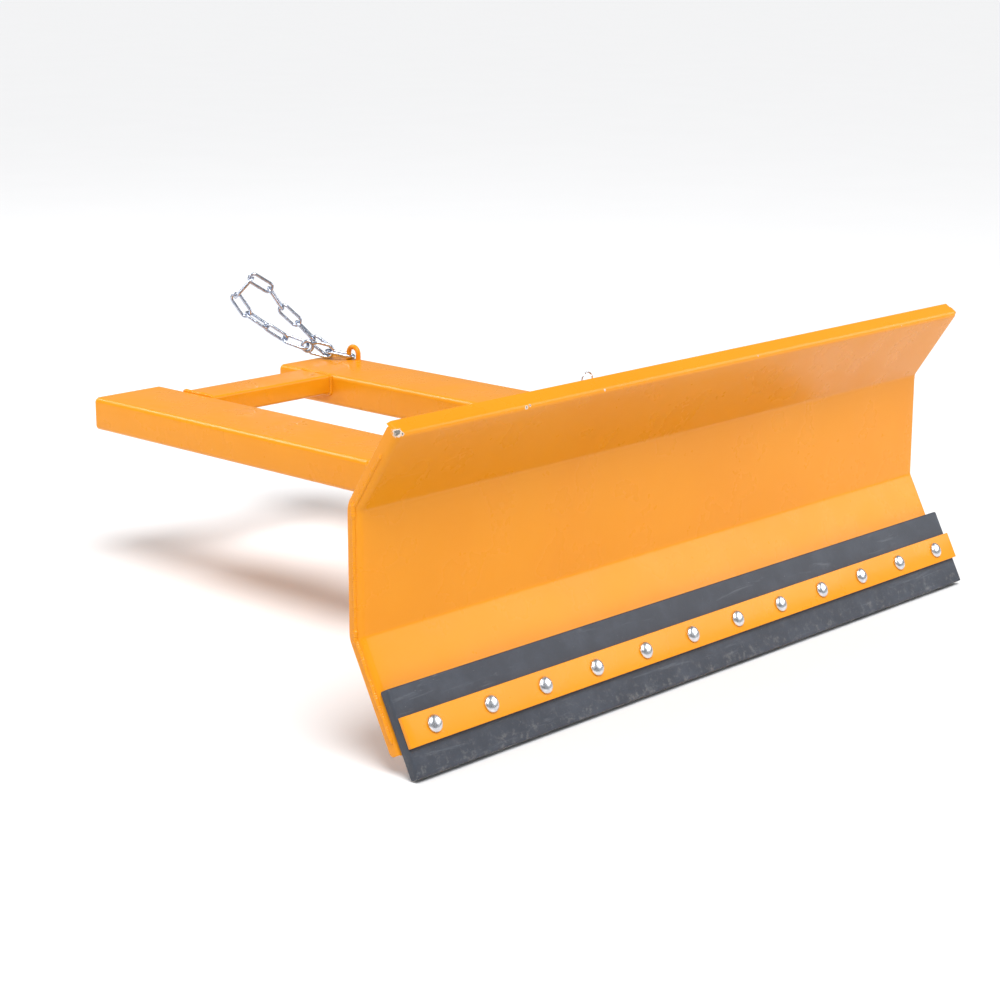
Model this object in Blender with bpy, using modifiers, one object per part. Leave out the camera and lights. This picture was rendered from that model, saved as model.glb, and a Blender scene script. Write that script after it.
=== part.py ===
"""Snow plough blade carried on the two forks of a lift truck.

Frame: metres, +X along the blade, -Y forwards (the way the blade pushes), +Z up.
Origin: midway between the two fork pockets, at their open rear ends and at mid height.
"""
import math

import bmesh
import bpy
from mathutils import Matrix, Vector

# Driving dimensions
GAP = 0.0003                  # between pieces that are fixed together
SLIDE = 0.0005                # between faces that turn on each other

BLADE_LENGTH = 1.500
SHEET = 0.005
MIDDLE_HEIGHT = 0.200
TOP_HEIGHT = 0.160
LOW_HEIGHT = 0.189
TOP_LEAN = math.radians(34.0)
LOW_LEAN = math.radians(27.5)
TOP_FLANGE = 0.031
CREASE_RADIUS = 0.014
TOP_EDGE_RADIUS = 0.009
END_PLATE_DEPTH = 0.026
END_PLATE_CHAMFER = 0.006

STRIP_CENTRE = 0.160          # down the low facet, from its crease
RUBBER_WIDTH = 0.145
RUBBER_THICK = 0.020
BAR_WIDTH = 0.050
BAR_THICK = 0.008
BOLT_COUNT = 12
BOLT_PITCH = 0.1255
BOLT_RADIUS = 0.006
HEAD_RADIUS = 0.0145
HEAD_HEIGHT = 0.0078
NUT_RADIUS = 0.0108
NUT_HEIGHT = 0.011

POCKET_WIDTH = 0.170
POCKET_HEIGHT = 0.066
POCKET_WALL = 0.005
POCKET_CORNER = 0.010
POCKET_GAP = 0.320            # clear width between the pockets
POCKET_LENGTH = 0.802
BEAM_DEPTH = 0.080
CROSSBAR_DEPTH = 0.092
CROSSBAR_HEIGHT = 0.041
CROSSBAR_WALL = 0.004
CROSSBAR_CORNER = 0.006
CROSSBAR_INSET = 0.072
BEAM_CORNER = 0.008           # of the front beam and the pivot arm

FACE_Y = -1.232               # front of the blade's upright facet
GROUND_Z = -0.312             # lowest edge of the rubber

PIVOT_Y = FACE_Y + 0.205
PIN_RADIUS = 0.015
TUBE_RADIUS = 0.030
LUG_THICK = 0.012
LUG_HOLE_RADIUS = 0.0155
LUG_NOSE_RADIUS = 0.036
TUBE_TOP = 0.118
RIB_THICK = 0.010
RIB_SPREAD = 0.140            # clear width between the ribs
RIB_DEPTH = 0.090
RIB_DOWN = 0.105              # how far the ribs reach over the low and top facets
RIB_UP = 0.115
ARM_WIDTH = 0.100
ARM_WALL = 0.006
GUSSET_THICK = 0.010
GUSSET_STEP = 0.012           # height of its foot, and how far its top stays below the tube's
SLOT_RADIUS = 0.120           # of the quadrant's arc slot
SLOT_HALF_ANGLE = math.radians(29.0)
QUADRANT_RADIUS = 0.148
QUADRANT_HALF_ANGLE = math.radians(43.0)
SWIVEL_BOLT_RADIUS = 0.008
SWIVEL_HEAD_RADIUS = 0.0135
SWIVEL_HEAD_HEIGHT = 0.010
SWIVEL_NUT_HEIGHT = 0.013
COLLAR_RADIUS = 0.024         # of the pivot pin
COLLAR_HEIGHT = 0.010
STUD_RADIUS = 0.007
STUD_HEIGHT = 0.0145
PIN_TAIL = 0.022
EDGE_BREAK = 0.0015
RING_RADIUS = 0.0145          # of the pin's pull ring
RING_WIRE = 0.0015
WASHER_RADIUS = 0.026
WASHER_THICK = 0.004
CLIP_WIRE = 0.002
CLIP_LOOP_RADIUS = 0.007

EYE_X = 0.310
EYE_FRONT_Y = -0.087          # front leg of the chain eye
EYE_SPREAD = 0.030
EYE_BAR_RADIUS = 0.0055
EYE_LEG = 0.013
CHAIN_HEADING = math.radians(133.7)   # the way the chain is drawn, seen from above
LINK_WIRE = 0.0035
LINK_INNER = (0.049, 0.014)
FIRST_WIRE = 0.004
FIRST_INNER = (0.052, 0.018)
LINK_REACH = LINK_INNER[0] + 2 * LINK_WIRE     # between the middles of a link's two end wires
WIRE_SPACING = 0.0077         # between the middles of two wires that hold each other
BROAD_ROLL = 20
CATCH_ASIDE = 0.0052          # how far the strands sit to either side of the first link's middle
UPPER_STRAND = ((38, 0, -6), (46, 90, -6), (43, 0, -3), (58, 90, 5))     # rise, roll, lean, degrees
LOWER_STRAND = ((20, 52, 0), (33, -38, 0), (35, 75, -1), (56, -4, -2))
HOOK_WIRE = 0.0040
HOOK_RING_WIRE = 0.0037
HOOK_KNUCKLE_WIRE = 0.0035
HOOK_GATE_WIRE = 0.003
HOOK_BEND = 0.0135
HOOK_SPINE = 0.036            # from the nose to where the spine turns in to the ring
HOOK_RING_X = 0.0565
HOOK_RING_RADIUS = 0.0114
HOOK_HINGE = (HOOK_RING_X - 0.0145, -0.0130, 0)
HOOK_LATCH = (HOOK_BEND + 0.0046, -HOOK_BEND, 0)

# Dimensions that follow
POCKET_X = POCKET_GAP / 2 + POCKET_WIDTH / 2
TOP_Z = POCKET_HEIGHT / 2
UNDER_Z = -TOP_Z
BEAM_Y = -POCKET_LENGTH - GAP - BEAM_DEPTH / 2
RUBBER_END = STRIP_CENTRE + RUBBER_WIDTH / 2
LOW_CREASE = Vector((0, FACE_Y, GROUND_Z + RUBBER_END * math.cos(LOW_LEAN)))
TOP_CREASE = LOW_CREASE + Vector((0, 0, MIDDLE_HEIGHT))
DOWN_LOW = Vector((0, -math.sin(LOW_LEAN), -math.cos(LOW_LEAN)))
OUT_LOW = Vector((0, -math.cos(LOW_LEAN), math.sin(LOW_LEAN)))
UP_TOP = Vector((0, -math.sin(TOP_LEAN), math.cos(TOP_LEAN)))
BACK_TOP = Vector((0, math.cos(TOP_LEAN), math.sin(TOP_LEAN)))

for old in list(bpy.data.objects):
    bpy.data.objects.remove(old, do_unlink=True)

parts = bpy.data.collections.new("snow_plough_blade")
cutters = bpy.data.collections.new("cutters")
bpy.context.scene.collection.children.link(parts)
bpy.context.scene.collection.children.link(cutters)

COLOURS = {
    "orange_paint": ((0.83, 0.33, 0.035, 1), 0.38, 0.0),
    "rubber": ((0.055, 0.062, 0.075, 1), 0.75, 0.0),
    "zinc": ((0.72, 0.74, 0.77, 1), 0.32, 1.0),
}


def material_for(name, finish):
    """A material of its own for each piece."""
    colour, roughness, metallic = COLOURS[finish]
    material = bpy.data.materials.new(name)
    material.use_nodes = True
    shader = material.node_tree.nodes["Principled BSDF"]
    shader.inputs["Base Color"].default_value = colour
    shader.inputs["Roughness"].default_value = roughness
    shader.inputs["Metallic"].default_value = metallic
    return material


def place(name, data, finish, matrix=None):
    """Put a mesh or curve into the object's collection."""
    piece = bpy.data.objects.new(name, data)
    parts.objects.link(piece)
    if matrix is not None:
        piece.matrix_world = matrix
    data.materials.append(material_for(name, finish))
    return piece


def place_cutter(name, data, matrix=None):
    cutter = bpy.data.objects.new(name, data)
    cutters.objects.link(cutter)
    if matrix is not None:
        cutter.matrix_world = matrix
    cutter.hide_render = True
    cutter.display_type = "WIRE"
    return cutter


def boolean(piece, other, operation="DIFFERENCE"):
    modifier = piece.modifiers.new(other.name, "BOOLEAN")
    modifier.operation = operation
    modifier.object = other
    modifier.solver = "EXACT"


def bevel(piece, width, segments=2, angle=40.0):
    modifier = piece.modifiers.new("edges", "BEVEL")
    modifier.width = width
    modifier.segments = segments
    modifier.limit_method = "ANGLE"
    modifier.angle_limit = math.radians(angle)


def smooth(mesh, angle=35.0):
    mesh.shade_smooth()
    mesh.set_sharp_from_angle(angle=math.radians(angle))


# Outlines, as lists of 2D points
def arc(centre, radius, start, end, steps):
    """Points along an arc, both ends included; angles in radians."""
    points = []
    for step in range(steps + 1):
        angle = start + (end - start) * step / steps
        points.append((centre[0] + radius * math.cos(angle), centre[1] + radius * math.sin(angle)))
    return points


def circle(radius, steps, centre=(0.0, 0.0)):
    return arc(centre, radius, 0.0, 2 * math.pi * (steps - 1) / steps, steps - 1)


def rounded_box(width, height, radius, steps=4):
    """A rectangle with round corners, about its own centre."""
    points = []
    corners = ((1, 1, 0.0), (-1, 1, 0.5), (-1, -1, 1.0), (1, -1, 1.5))
    for side_x, side_y, turn in corners:
        centre = (side_x * (width / 2 - radius), side_y * (height / 2 - radius))
        points += arc(centre, radius, turn * math.pi, (turn + 0.5) * math.pi, steps)
    return points


def arc_slot(radius, half_width, half_angle, middle, steps=12):
    """A slot of constant width that follows an arc about the outline's origin."""
    start, end = middle - half_angle, middle + half_angle
    outer = arc((0, 0), radius + half_width, start, end, steps)
    inner = arc((0, 0), radius - half_width, end, start, steps)
    end_centre = (radius * math.cos(end), radius * math.sin(end))
    start_centre = (radius * math.cos(start), radius * math.sin(start))
    end_cap = arc(end_centre, half_width, end, end + math.pi, 6)[1:-1]
    start_cap = arc(start_centre, half_width, start + math.pi, start + 2 * math.pi, 6)[1:-1]
    return outer + end_cap + inner + start_cap


def plate_data(name, outlines, thickness):
    """A flat plate about z = 0, its first outline outside and the others as holes."""
    data = bpy.data.curves.new(name, "CURVE")
    data.dimensions = "2D"
    data.fill_mode = "BOTH"
    data.extrude = thickness / 2
    for outline in outlines:
        spline = data.splines.new("POLY")
        spline.points.add(len(outline) - 1)
        for point, (x, y) in zip(spline.points, outline):
            point.co = (x, y, 0, 1)
        spline.use_cyclic_u = True
    return data


def wire_data(name, points, radius, closed=False, resolution=2):
    """A round bar along a list of 3D points."""
    data = bpy.data.curves.new(name, "CURVE")
    data.dimensions = "3D"
    data.bevel_depth = radius
    data.bevel_resolution = resolution
    data.use_fill_caps = not closed
    spline = data.splines.new("POLY")
    spline.points.add(len(points) - 1)
    for point, co in zip(spline.points, points):
        point.co = (*co, 1)
    spline.use_cyclic_u = closed
    return data


def as_mesh(source):
    """Turn a curve object into a welded mesh object in the same place."""
    depsgraph = bpy.context.evaluated_depsgraph_get()
    mesh = bpy.data.meshes.new_from_object(source.evaluated_get(depsgraph))
    work = bmesh.new()
    work.from_mesh(mesh)
    bmesh.ops.remove_doubles(work, verts=work.verts, dist=0.00001)
    work.to_mesh(mesh)
    work.free()
    name = source.name
    matrix = source.matrix_world.copy()
    home = source.users_collection[0]
    bpy.data.objects.remove(source, do_unlink=True)
    piece = bpy.data.objects.new(name, mesh)
    home.objects.link(piece)
    piece.matrix_world = matrix
    return piece


def box_data(name, size):
    mesh = bpy.data.meshes.new(name)
    work = bmesh.new()
    bmesh.ops.create_cube(work, size=1.0)
    bmesh.ops.scale(work, vec=size, verts=work.verts)
    work.to_mesh(mesh)
    work.free()
    return mesh


def rods_data(name, centres, radius, depth, segments):
    """Equal cylinders along local Z, one at each centre, in one mesh."""
    mesh = bpy.data.meshes.new(name)
    work = bmesh.new()
    for centre in centres:
        bmesh.ops.create_cone(
            work, cap_ends=True, segments=segments, radius1=radius, radius2=radius, depth=depth,
            matrix=Matrix.Translation(centre))
    work.to_mesh(mesh)
    work.free()
    return mesh


def turned_data(name, profile, steps):
    """A solid turned about local Z from (radius, z) points that run from top to bottom."""
    mesh = bpy.data.meshes.new(name)
    verts = [(radius, 0, z) for radius, z in profile]
    edges = [(index, index + 1) for index in range(len(profile) - 1)]
    mesh.from_pydata(verts, edges, [])
    holder = place(name + "_profile", mesh, "zinc")
    screw = holder.modifiers.new("turn", "SCREW")
    screw.steps = steps
    screw.render_steps = steps
    screw.use_merge_vertices = True
    screw.merge_threshold = 0.00001
    depsgraph = bpy.context.evaluated_depsgraph_get()
    solid = bpy.data.meshes.new_from_object(holder.evaluated_get(depsgraph))
    bpy.data.objects.remove(holder, do_unlink=True)
    solid.materials.clear()
    smooth(solid)
    return solid


def axes(x_axis, y_axis, z_axis, origin):
    """The matrix of a frame given by its three unit axes and its origin."""
    matrix = Matrix((x_axis, y_axis, z_axis)).transposed().to_4x4()
    matrix.translation = origin
    return matrix


X = Vector((1, 0, 0))
Y = Vector((0, 1, 0))
Z = Vector((0, 0, 1))


def along_x(origin):
    """Outlines given as (y, z), extruded along X."""
    return axes(Y, Z, X, origin)


def along_y(origin):
    """Outlines given as (x, z), extruded along Y."""
    return axes(X, Z, -Y, origin)


# The blade
def filleted(corners, radii, steps=4):
    """A chain of 3D points whose inner corners are rounded."""
    points = [corners[0]]
    for before, corner, after, radius in zip(corners, corners[1:], corners[2:], radii):
        toward = (before - corner).normalized()
        away = (after - corner).normalized()
        half = toward.angle(away) / 2
        reach = radius / math.tan(half)
        centre = corner + (toward + away).normalized() * (radius / math.sin(half))
        start = (corner + toward * reach - centre).normalized()
        end = (corner + away * reach - centre).normalized()
        for step in range(steps + 1):
            points.append(centre + start.slerp(end, step / steps) * radius)
    points.append(corners[-1])
    return points


def offset_line(distance, low_reach, top_reach):
    """The sheet's front line moved back, as (y, z) points from the low end to the top end."""
    low = LOW_CREASE - OUT_LOW * distance
    top = TOP_CREASE + BACK_TOP * distance
    low_corner = Vector((0, FACE_Y + distance, 0))
    low_corner.z = low.z + (low_corner.y - low.y) * DOWN_LOW.z / DOWN_LOW.y
    top_corner = Vector((0, FACE_Y + distance, 0))
    top_corner.z = top.z + (top_corner.y - top.y) * UP_TOP.z / UP_TOP.y
    chain = (low + DOWN_LOW * low_reach, low_corner, top_corner, top + UP_TOP * top_reach)
    return [(point.y, point.z) for point in chain]


def low_facet(distance_down, height, x=0.0):
    """A point over the low facet: down from the crease, and out from the sheet's front."""
    return LOW_CREASE + DOWN_LOW * distance_down + OUT_LOW * height + X * x


def low_facet_frame(distance_down, height, x=0.0):
    """Local Z out of the low facet and local Y up it."""
    return axes(X, -DOWN_LOW, OUT_LOW, low_facet(distance_down, height, x))


bolt_xs = [(index - (BOLT_COUNT - 1) / 2) * BOLT_PITCH for index in range(BOLT_COUNT)]


def bolt_hole_cutter(name, radius, segments=12):
    data = rods_data(name, [(x, 0, 0) for x in bolt_xs], radius, 0.10, segments)
    return place_cutter(name, data, low_facet_frame(STRIP_CENTRE, 0.0))


def make_moldboard():
    top = TOP_CREASE + UP_TOP * TOP_HEIGHT
    corners = [
        LOW_CREASE + DOWN_LOW * LOW_HEIGHT, LOW_CREASE, TOP_CREASE, top, top + BACK_TOP * TOP_FLANGE]
    line = filleted(corners, [CREASE_RADIUS, CREASE_RADIUS, TOP_EDGE_RADIUS])
    mesh = bpy.data.meshes.new("moldboard")
    work = bmesh.new()
    rows = [[work.verts.new(point + X * side * BLADE_LENGTH / 2) for side in (-1, 1)] for point in line]
    for low, high in zip(rows, rows[1:]):
        work.faces.new((low[0], low[1], high[1], high[0]))
    work.to_mesh(mesh)
    work.free()
    sheet = place("moldboard", mesh, "orange_paint")
    solid = sheet.modifiers.new("sheet", "SOLIDIFY")
    solid.thickness = SHEET
    solid.offset = -1.0
    solid.use_even_offset = True
    boolean(sheet, bolt_hole_cutter("sheet_holes", BOLT_RADIUS + 0.0008))


def make_end_plates():
    inner = offset_line(SHEET + GAP, LOW_HEIGHT - 0.001, TOP_HEIGHT - SHEET - 2 * TOP_EDGE_RADIUS)
    outer = offset_line(END_PLATE_DEPTH, LOW_HEIGHT - 0.001, TOP_HEIGHT - SHEET - GAP - 0.001)
    corner = Vector(outer[0])
    up = (Vector(outer[1]) - corner).normalized()
    across = (Vector(inner[0]) - corner).normalized()
    chamfer = [tuple(corner + up * END_PLATE_CHAMFER), tuple(corner + across * END_PLATE_CHAMFER)]
    outline = inner + outer[:0:-1] + chamfer
    for name, side in (("end_plate_left", -1), ("end_plate_right", 1)):
        x = side * (BLADE_LENGTH / 2 - SHEET / 2)
        place(name, plate_data(name, [outline], SHEET), "orange_paint", along_x((x, 0, 0)))


def make_ribs():
    front = offset_line(SHEET + GAP, RIB_DOWN, RIB_UP)
    rear_y = FACE_Y + RIB_DEPTH
    outline = front + [(rear_y, front[2][1] + 0.045), (rear_y, front[1][1] + 0.030)]
    for name, side in (("rib_left", -1), ("rib_right", 1)):
        x = side * (RIB_SPREAD / 2 + RIB_THICK / 2)
        place(name, plate_data(name, [outline], RIB_THICK), "orange_paint", along_x((x, 0, 0)))


def make_upper_lug():
    half = RIB_SPREAD / 2 - GAP
    front = FACE_Y + 0.012 - PIVOT_Y
    rear = FACE_Y + RIB_DEPTH - PIVOT_Y
    nose = arc((0, 0), LUG_NOSE_RADIUS, math.radians(-25), math.radians(205), 12)
    outline = [(half, front), (half, rear)] + nose + [(-half, rear), (-half, front)]
    hole = circle(LUG_HOLE_RADIUS, 24)
    z = TUBE_TOP + SLIDE + LUG_THICK / 2
    place("upper_lug", plate_data("upper_lug", [outline, hole], LUG_THICK), "orange_paint",
          Matrix.Translation((0, PIVOT_Y, z)))


def make_quadrant_plate():
    half = RIB_SPREAD / 2 - GAP
    front = FACE_Y + SHEET + GAP - PIVOT_Y
    rear = FACE_Y + RIB_DEPTH + 0.004 - PIVOT_Y
    back = math.pi / 2
    sector = arc((0, 0), QUADRANT_RADIUS, back - QUADRANT_HALF_ANGLE, back + QUADRANT_HALF_ANGLE, 14)
    outline = [(half, front), (half, rear)] + sector + [(-half, rear), (-half, front)]
    slot = arc_slot(SLOT_RADIUS, SWIVEL_BOLT_RADIUS + 0.0006, SLOT_HALF_ANGLE, back)
    hole = circle(LUG_HOLE_RADIUS, 24)
    z = UNDER_Z - SLIDE - LUG_THICK / 2
    place("quadrant_plate", plate_data("quadrant_plate", [outline, hole, slot], LUG_THICK),
          "orange_paint", Matrix.Translation((0, PIVOT_Y, z)))


def make_rubber_and_bar():
    rubber = place("rubber_strip", box_data("rubber_strip", (BLADE_LENGTH, RUBBER_WIDTH, RUBBER_THICK)),
                   "rubber", low_facet_frame(STRIP_CENTRE, GAP + RUBBER_THICK / 2))
    bevel(rubber, 0.002)
    boolean(rubber, bolt_hole_cutter("rubber_holes", BOLT_RADIUS + 0.0006))
    height = RUBBER_THICK + 2 * GAP + BAR_THICK / 2
    bar = place("clamp_bar", box_data("clamp_bar", (BLADE_LENGTH, BAR_WIDTH, BAR_THICK)),
                "orange_paint", low_facet_frame(STRIP_CENTRE, height))
    bevel(bar, 0.001, 1)
    boolean(bar, bolt_hole_cutter("bar_holes", BOLT_RADIUS + 0.0006))


def make_bolts_and_nuts():
    seat = RUBBER_THICK + BAR_THICK + 3 * GAP
    tail = -SHEET - GAP - NUT_HEIGHT - 0.003
    dome_steps = 4
    dome = []
    for step in range(dome_steps + 1):
        angle = math.pi / 2 * (1 - step / dome_steps)
        dome.append((HEAD_RADIUS * math.cos(angle), seat + 0.001 + (HEAD_HEIGHT - 0.001) * math.sin(angle)))
    dome[0] = (0.0, seat + HEAD_HEIGHT)
    profile = dome + [(HEAD_RADIUS, seat), (BOLT_RADIUS, seat), (BOLT_RADIUS, tail), (0.0, tail)]
    bolt = turned_data("bolt", profile, 12)
    hole = circle((BOLT_RADIUS + GAP) / math.cos(math.pi / 12), 12)
    hexagon = circle(NUT_RADIUS, 6)
    height = -SHEET - GAP - NUT_HEIGHT / 2
    for number, x in enumerate(bolt_xs, 1):
        name = f"bolt_{number:02d}"
        place(name, bolt.copy(), "zinc", low_facet_frame(STRIP_CENTRE, 0.0, x))
        name = f"nut_{number:02d}"
        place(name, plate_data(name, [hexagon, hole], NUT_HEIGHT), "zinc",
              low_facet_frame(STRIP_CENTRE, height, x))


# The frame
def tube_outlines(width, height, wall, corner):
    inner_corner = max(corner - wall, 0.002)
    inner = rounded_box(width - 2 * wall, height - 2 * wall, inner_corner, 3)
    return [rounded_box(width, height, corner, 4), inner]


def make_pockets():
    outlines = tube_outlines(POCKET_WIDTH, POCKET_HEIGHT, POCKET_WALL, POCKET_CORNER)
    for name, side in (("fork_pocket_left", -1), ("fork_pocket_right", 1)):
        place(name, plate_data(name, outlines, POCKET_LENGTH), "orange_paint",
              along_y((side * POCKET_X, -POCKET_LENGTH / 2, 0)))


def make_front_beam():
    outlines = tube_outlines(BEAM_DEPTH, POCKET_HEIGHT, POCKET_WALL, BEAM_CORNER)
    length = POCKET_GAP + 2 * POCKET_WIDTH
    place("front_beam", plate_data("front_beam", outlines, length), "orange_paint",
          along_x((0, BEAM_Y, 0)))


def make_rear_crossbar():
    outlines = tube_outlines(CROSSBAR_DEPTH, CROSSBAR_HEIGHT, CROSSBAR_WALL, CROSSBAR_CORNER)
    y = -CROSSBAR_INSET - CROSSBAR_DEPTH / 2
    z = TOP_Z - CROSSBAR_HEIGHT / 2
    place("rear_crossbar", plate_data("rear_crossbar", outlines, POCKET_GAP - 2 * GAP),
          "orange_paint", along_x((0, y, z)))


def make_pivot_arm():
    front = PIVOT_Y + 0.016
    rear = BEAM_Y - BEAM_DEPTH / 2 - GAP
    outlines = tube_outlines(ARM_WIDTH, POCKET_HEIGHT, ARM_WALL, BEAM_CORNER)
    middle = (front + rear) / 2
    arm = place("pivot_arm", plate_data("pivot_arm", outlines, rear - front), "orange_paint",
                along_y((0, middle, 0)))
    arm = as_mesh(arm)
    cope = rods_data("cope", [(0, 0, 0)], TUBE_RADIUS + GAP + 0.0002, 0.2, 32)
    bolt_hole = rods_data("arm_hole", [(0, 0, 0)], SWIVEL_BOLT_RADIUS + 0.0006, 0.2, 16)
    boolean(arm, place_cutter("cope", cope, Matrix.Translation((0, PIVOT_Y, 0))))
    boolean(arm, place_cutter("arm_hole", bolt_hole, Matrix.Translation((0, PIVOT_Y + SLOT_RADIUS, 0))))


def make_pivot_tube():
    height = TUBE_TOP - UNDER_Z
    outlines = [circle(TUBE_RADIUS, 32), circle(LUG_HOLE_RADIUS, 24)]
    place("pivot_tube", plate_data("pivot_tube", outlines, height), "orange_paint",
          Matrix.Translation((0, PIVOT_Y, UNDER_Z + height / 2)))


def make_arm_gusset():
    front = PIVOT_Y + TUBE_RADIUS + 2 * GAP
    foot = PIVOT_Y + SLOT_RADIUS - 0.018
    low = TOP_Z + GAP
    high = TUBE_TOP - GUSSET_STEP
    outline = [(front, low), (foot, low), (foot, low + GUSSET_STEP), (front + 0.014, high), (front, high)]
    place("arm_gusset", plate_data("arm_gusset", [outline], GUSSET_THICK), "orange_paint",
          along_x((0, 0, 0)))


def make_chain_eye():
    foot = TOP_Z + GAP
    middle = EYE_FRONT_Y + EYE_SPREAD / 2
    bend = arc((middle, foot + EYE_LEG), EYE_SPREAD / 2, 0.0, math.pi, 10)
    points = [(middle + EYE_SPREAD / 2, foot)] + bend + [(middle - EYE_SPREAD / 2, foot)]
    place("chain_eye", wire_data("chain_eye", [(EYE_X, y, z) for y, z in points], EYE_BAR_RADIUS),
          "orange_paint")


# The pivot pin and the swivel clamp
def make_pivot_pin():
    seat = TUBE_TOP + SLIDE + LUG_THICK + GAP
    collar_top = seat + COLLAR_HEIGHT
    tip = collar_top + STUD_HEIGHT
    foot = UNDER_Z - LUG_THICK - PIN_TAIL
    profile = [
        (0.0, tip), (STUD_RADIUS - EDGE_BREAK, tip), (STUD_RADIUS, tip - EDGE_BREAK),
        (STUD_RADIUS, collar_top), (COLLAR_RADIUS - EDGE_BREAK, collar_top),
        (COLLAR_RADIUS, collar_top - EDGE_BREAK), (COLLAR_RADIUS, seat), (PIN_RADIUS, seat),
        (PIN_RADIUS, foot + 0.002), (PIN_RADIUS - 0.002, foot), (0.0, foot)]
    pin = place("pivot_pin", turned_data("pivot_pin", profile, 24), "zinc",
                Matrix.Translation((0, PIVOT_Y, 0)))
    ring_z = collar_top + 0.007
    clip_z = UNDER_Z - LUG_THICK - 0.0125
    lying = axes(Y, Z, X, (0, 0, 0))
    ring_hole = place_cutter("ring_hole", rods_data("ring_hole", [(0, 0, 0)], 0.0038, 0.06, 12),
                             Matrix.Translation((0, PIVOT_Y, ring_z)) @ lying)
    clip_hole = place_cutter("clip_hole", rods_data("clip_hole", [(0, 0, 0)], 0.0026, 0.06, 12),
                             Matrix.Translation((0, PIVOT_Y, clip_z)) @ lying)
    boolean(pin, ring_hole)
    boolean(pin, clip_hole)
    return ring_z, clip_z


def make_pin_ring(hinge_z):
    points = [(x, 0, z) for x, z in circle(RING_RADIUS, 24, (0, RING_RADIUS))]
    place("pin_ring", wire_data("pin_ring", points, RING_WIRE, closed=True, resolution=1), "zinc",
          Matrix.Translation((0, PIVOT_Y, hinge_z)))


def make_pin_washer():
    outlines = [circle(WASHER_RADIUS, 24), circle(PIN_RADIUS + 0.0006, 24)]
    z = UNDER_Z - SLIDE - LUG_THICK - GAP - WASHER_THICK / 2
    place("pin_washer", plate_data("pin_washer", outlines, WASHER_THICK), "zinc",
          Matrix.Translation((0, PIVOT_Y, z)))


def make_pin_clip(z):
    """A spring clip: a straight leg through the pin, a loop, and a leg that hugs the pin."""
    reach = 0.026
    climb = 0.0008
    points = [(-0.022, 0, 0), (reach, 0, 0)]
    for x, y in arc((reach, CLIP_LOOP_RADIUS), CLIP_LOOP_RADIUS, -math.pi / 2, math.pi * 0.62, 8)[1:]:
        points.append((x, y, climb))
    hug = PIN_RADIUS + CLIP_WIRE + climb
    for x, y in arc((0, 0), hug, math.radians(38), math.radians(128), 8):
        points.append((x, y, climb))
    points.append((-0.019, 0.020, 0.0))
    place("pin_clip", wire_data("pin_clip", points, CLIP_WIRE), "zinc",
          Matrix.Translation((0, PIVOT_Y, z)))


def make_swivel_clamp():
    seat = TOP_Z + GAP
    head_top = seat + SWIVEL_HEAD_HEIGHT
    under = UNDER_Z - SLIDE - LUG_THICK - GAP
    tail = under - SWIVEL_NUT_HEIGHT - 0.004
    shank = rods_data("swivel_bolt", [(0, 0, (seat + tail) / 2 + 0.0005)], SWIVEL_BOLT_RADIUS,
                      seat - tail + 0.001, 16)
    bolt = place("swivel_bolt", shank, "zinc", Matrix.Translation((0, PIVOT_Y + SLOT_RADIUS, 0)))
    head = rods_data("swivel_head", [(0, 0, (seat + head_top) / 2)], SWIVEL_HEAD_RADIUS,
                     SWIVEL_HEAD_HEIGHT, 6)
    boolean(bolt, place_cutter("swivel_head", head, Matrix.Translation((0, PIVOT_Y + SLOT_RADIUS, 0))),
            "UNION")
    hole = circle((SWIVEL_BOLT_RADIUS + GAP) / math.cos(math.pi / 16), 16)
    outlines = [circle(SWIVEL_HEAD_RADIUS, 6), hole]
    place("swivel_nut", plate_data("swivel_nut", outlines, SWIVEL_NUT_HEIGHT), "zinc",
          Matrix.Translation((0, PIVOT_Y + SLOT_RADIUS, under - SWIVEL_NUT_HEIGHT / 2)))


# The safety chain: drawn up from the eye in one upright plane
DRAWN = Vector((math.cos(CHAIN_HEADING), math.sin(CHAIN_HEADING), 0))
SIDE = Vector((-math.sin(CHAIN_HEADING), math.cos(CHAIN_HEADING), 0))
CHAIN_FOOT = Vector((EYE_X, EYE_FRONT_Y + EYE_SPREAD, TOP_Z))


def chain_point(along, up, aside=0.0):
    """A point from the rear leg of the eye, on the pocket's top."""
    return CHAIN_FOOT + DRAWN * along + Z * up + SIDE * aside


def chain_heading(degrees, lean=0.0):
    """A direction that rises and, where it leans, turns aside too."""
    angle = math.radians(degrees)
    upright = DRAWN * math.cos(angle) + Z * math.sin(angle)
    return (upright + SIDE * math.tan(math.radians(lean))).normalized()


def stadium(inner_length, inner_width, wire, steps=5):
    """The centre line of a link, long axis on X."""
    radius = inner_width / 2 + wire
    straight = (inner_length - inner_width) / 2
    right = arc((straight, 0), radius, -math.pi / 2, math.pi / 2, steps)
    left = arc((-straight, 0), radius, math.pi / 2, 1.5 * math.pi, steps)
    return [(x, y, 0) for x, y in right + left]


def place_link(name, centre, way, roll):
    """A link whose flat side faces SIDE at roll 0 and turns about its length."""
    flat = (SIDE - way * SIDE.dot(way)).normalized()
    flat = Matrix.Rotation(math.radians(roll), 3, way) @ flat
    points = stadium(*LINK_INNER, LINK_WIRE)
    place(name, wire_data(name, points, LINK_WIRE, closed=True), "zinc",
          axes(way, flat.cross(way), flat, centre))


def next_start(end, step, way, next_step, next_way):
    """Middle of the next link's near end wire, from the middle of this one's far end wire.

    A link seen broadside holds its neighbour's wire on its own long axis, however sharp the bend.
    """
    if abs(step[1]) < BROAD_ROLL:
        return end - way * WIRE_SPACING
    if abs(next_step[1]) < BROAD_ROLL:
        return end - next_way * WIRE_SPACING
    return end - (way + next_way) * (WIRE_SPACING / 2)


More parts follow.
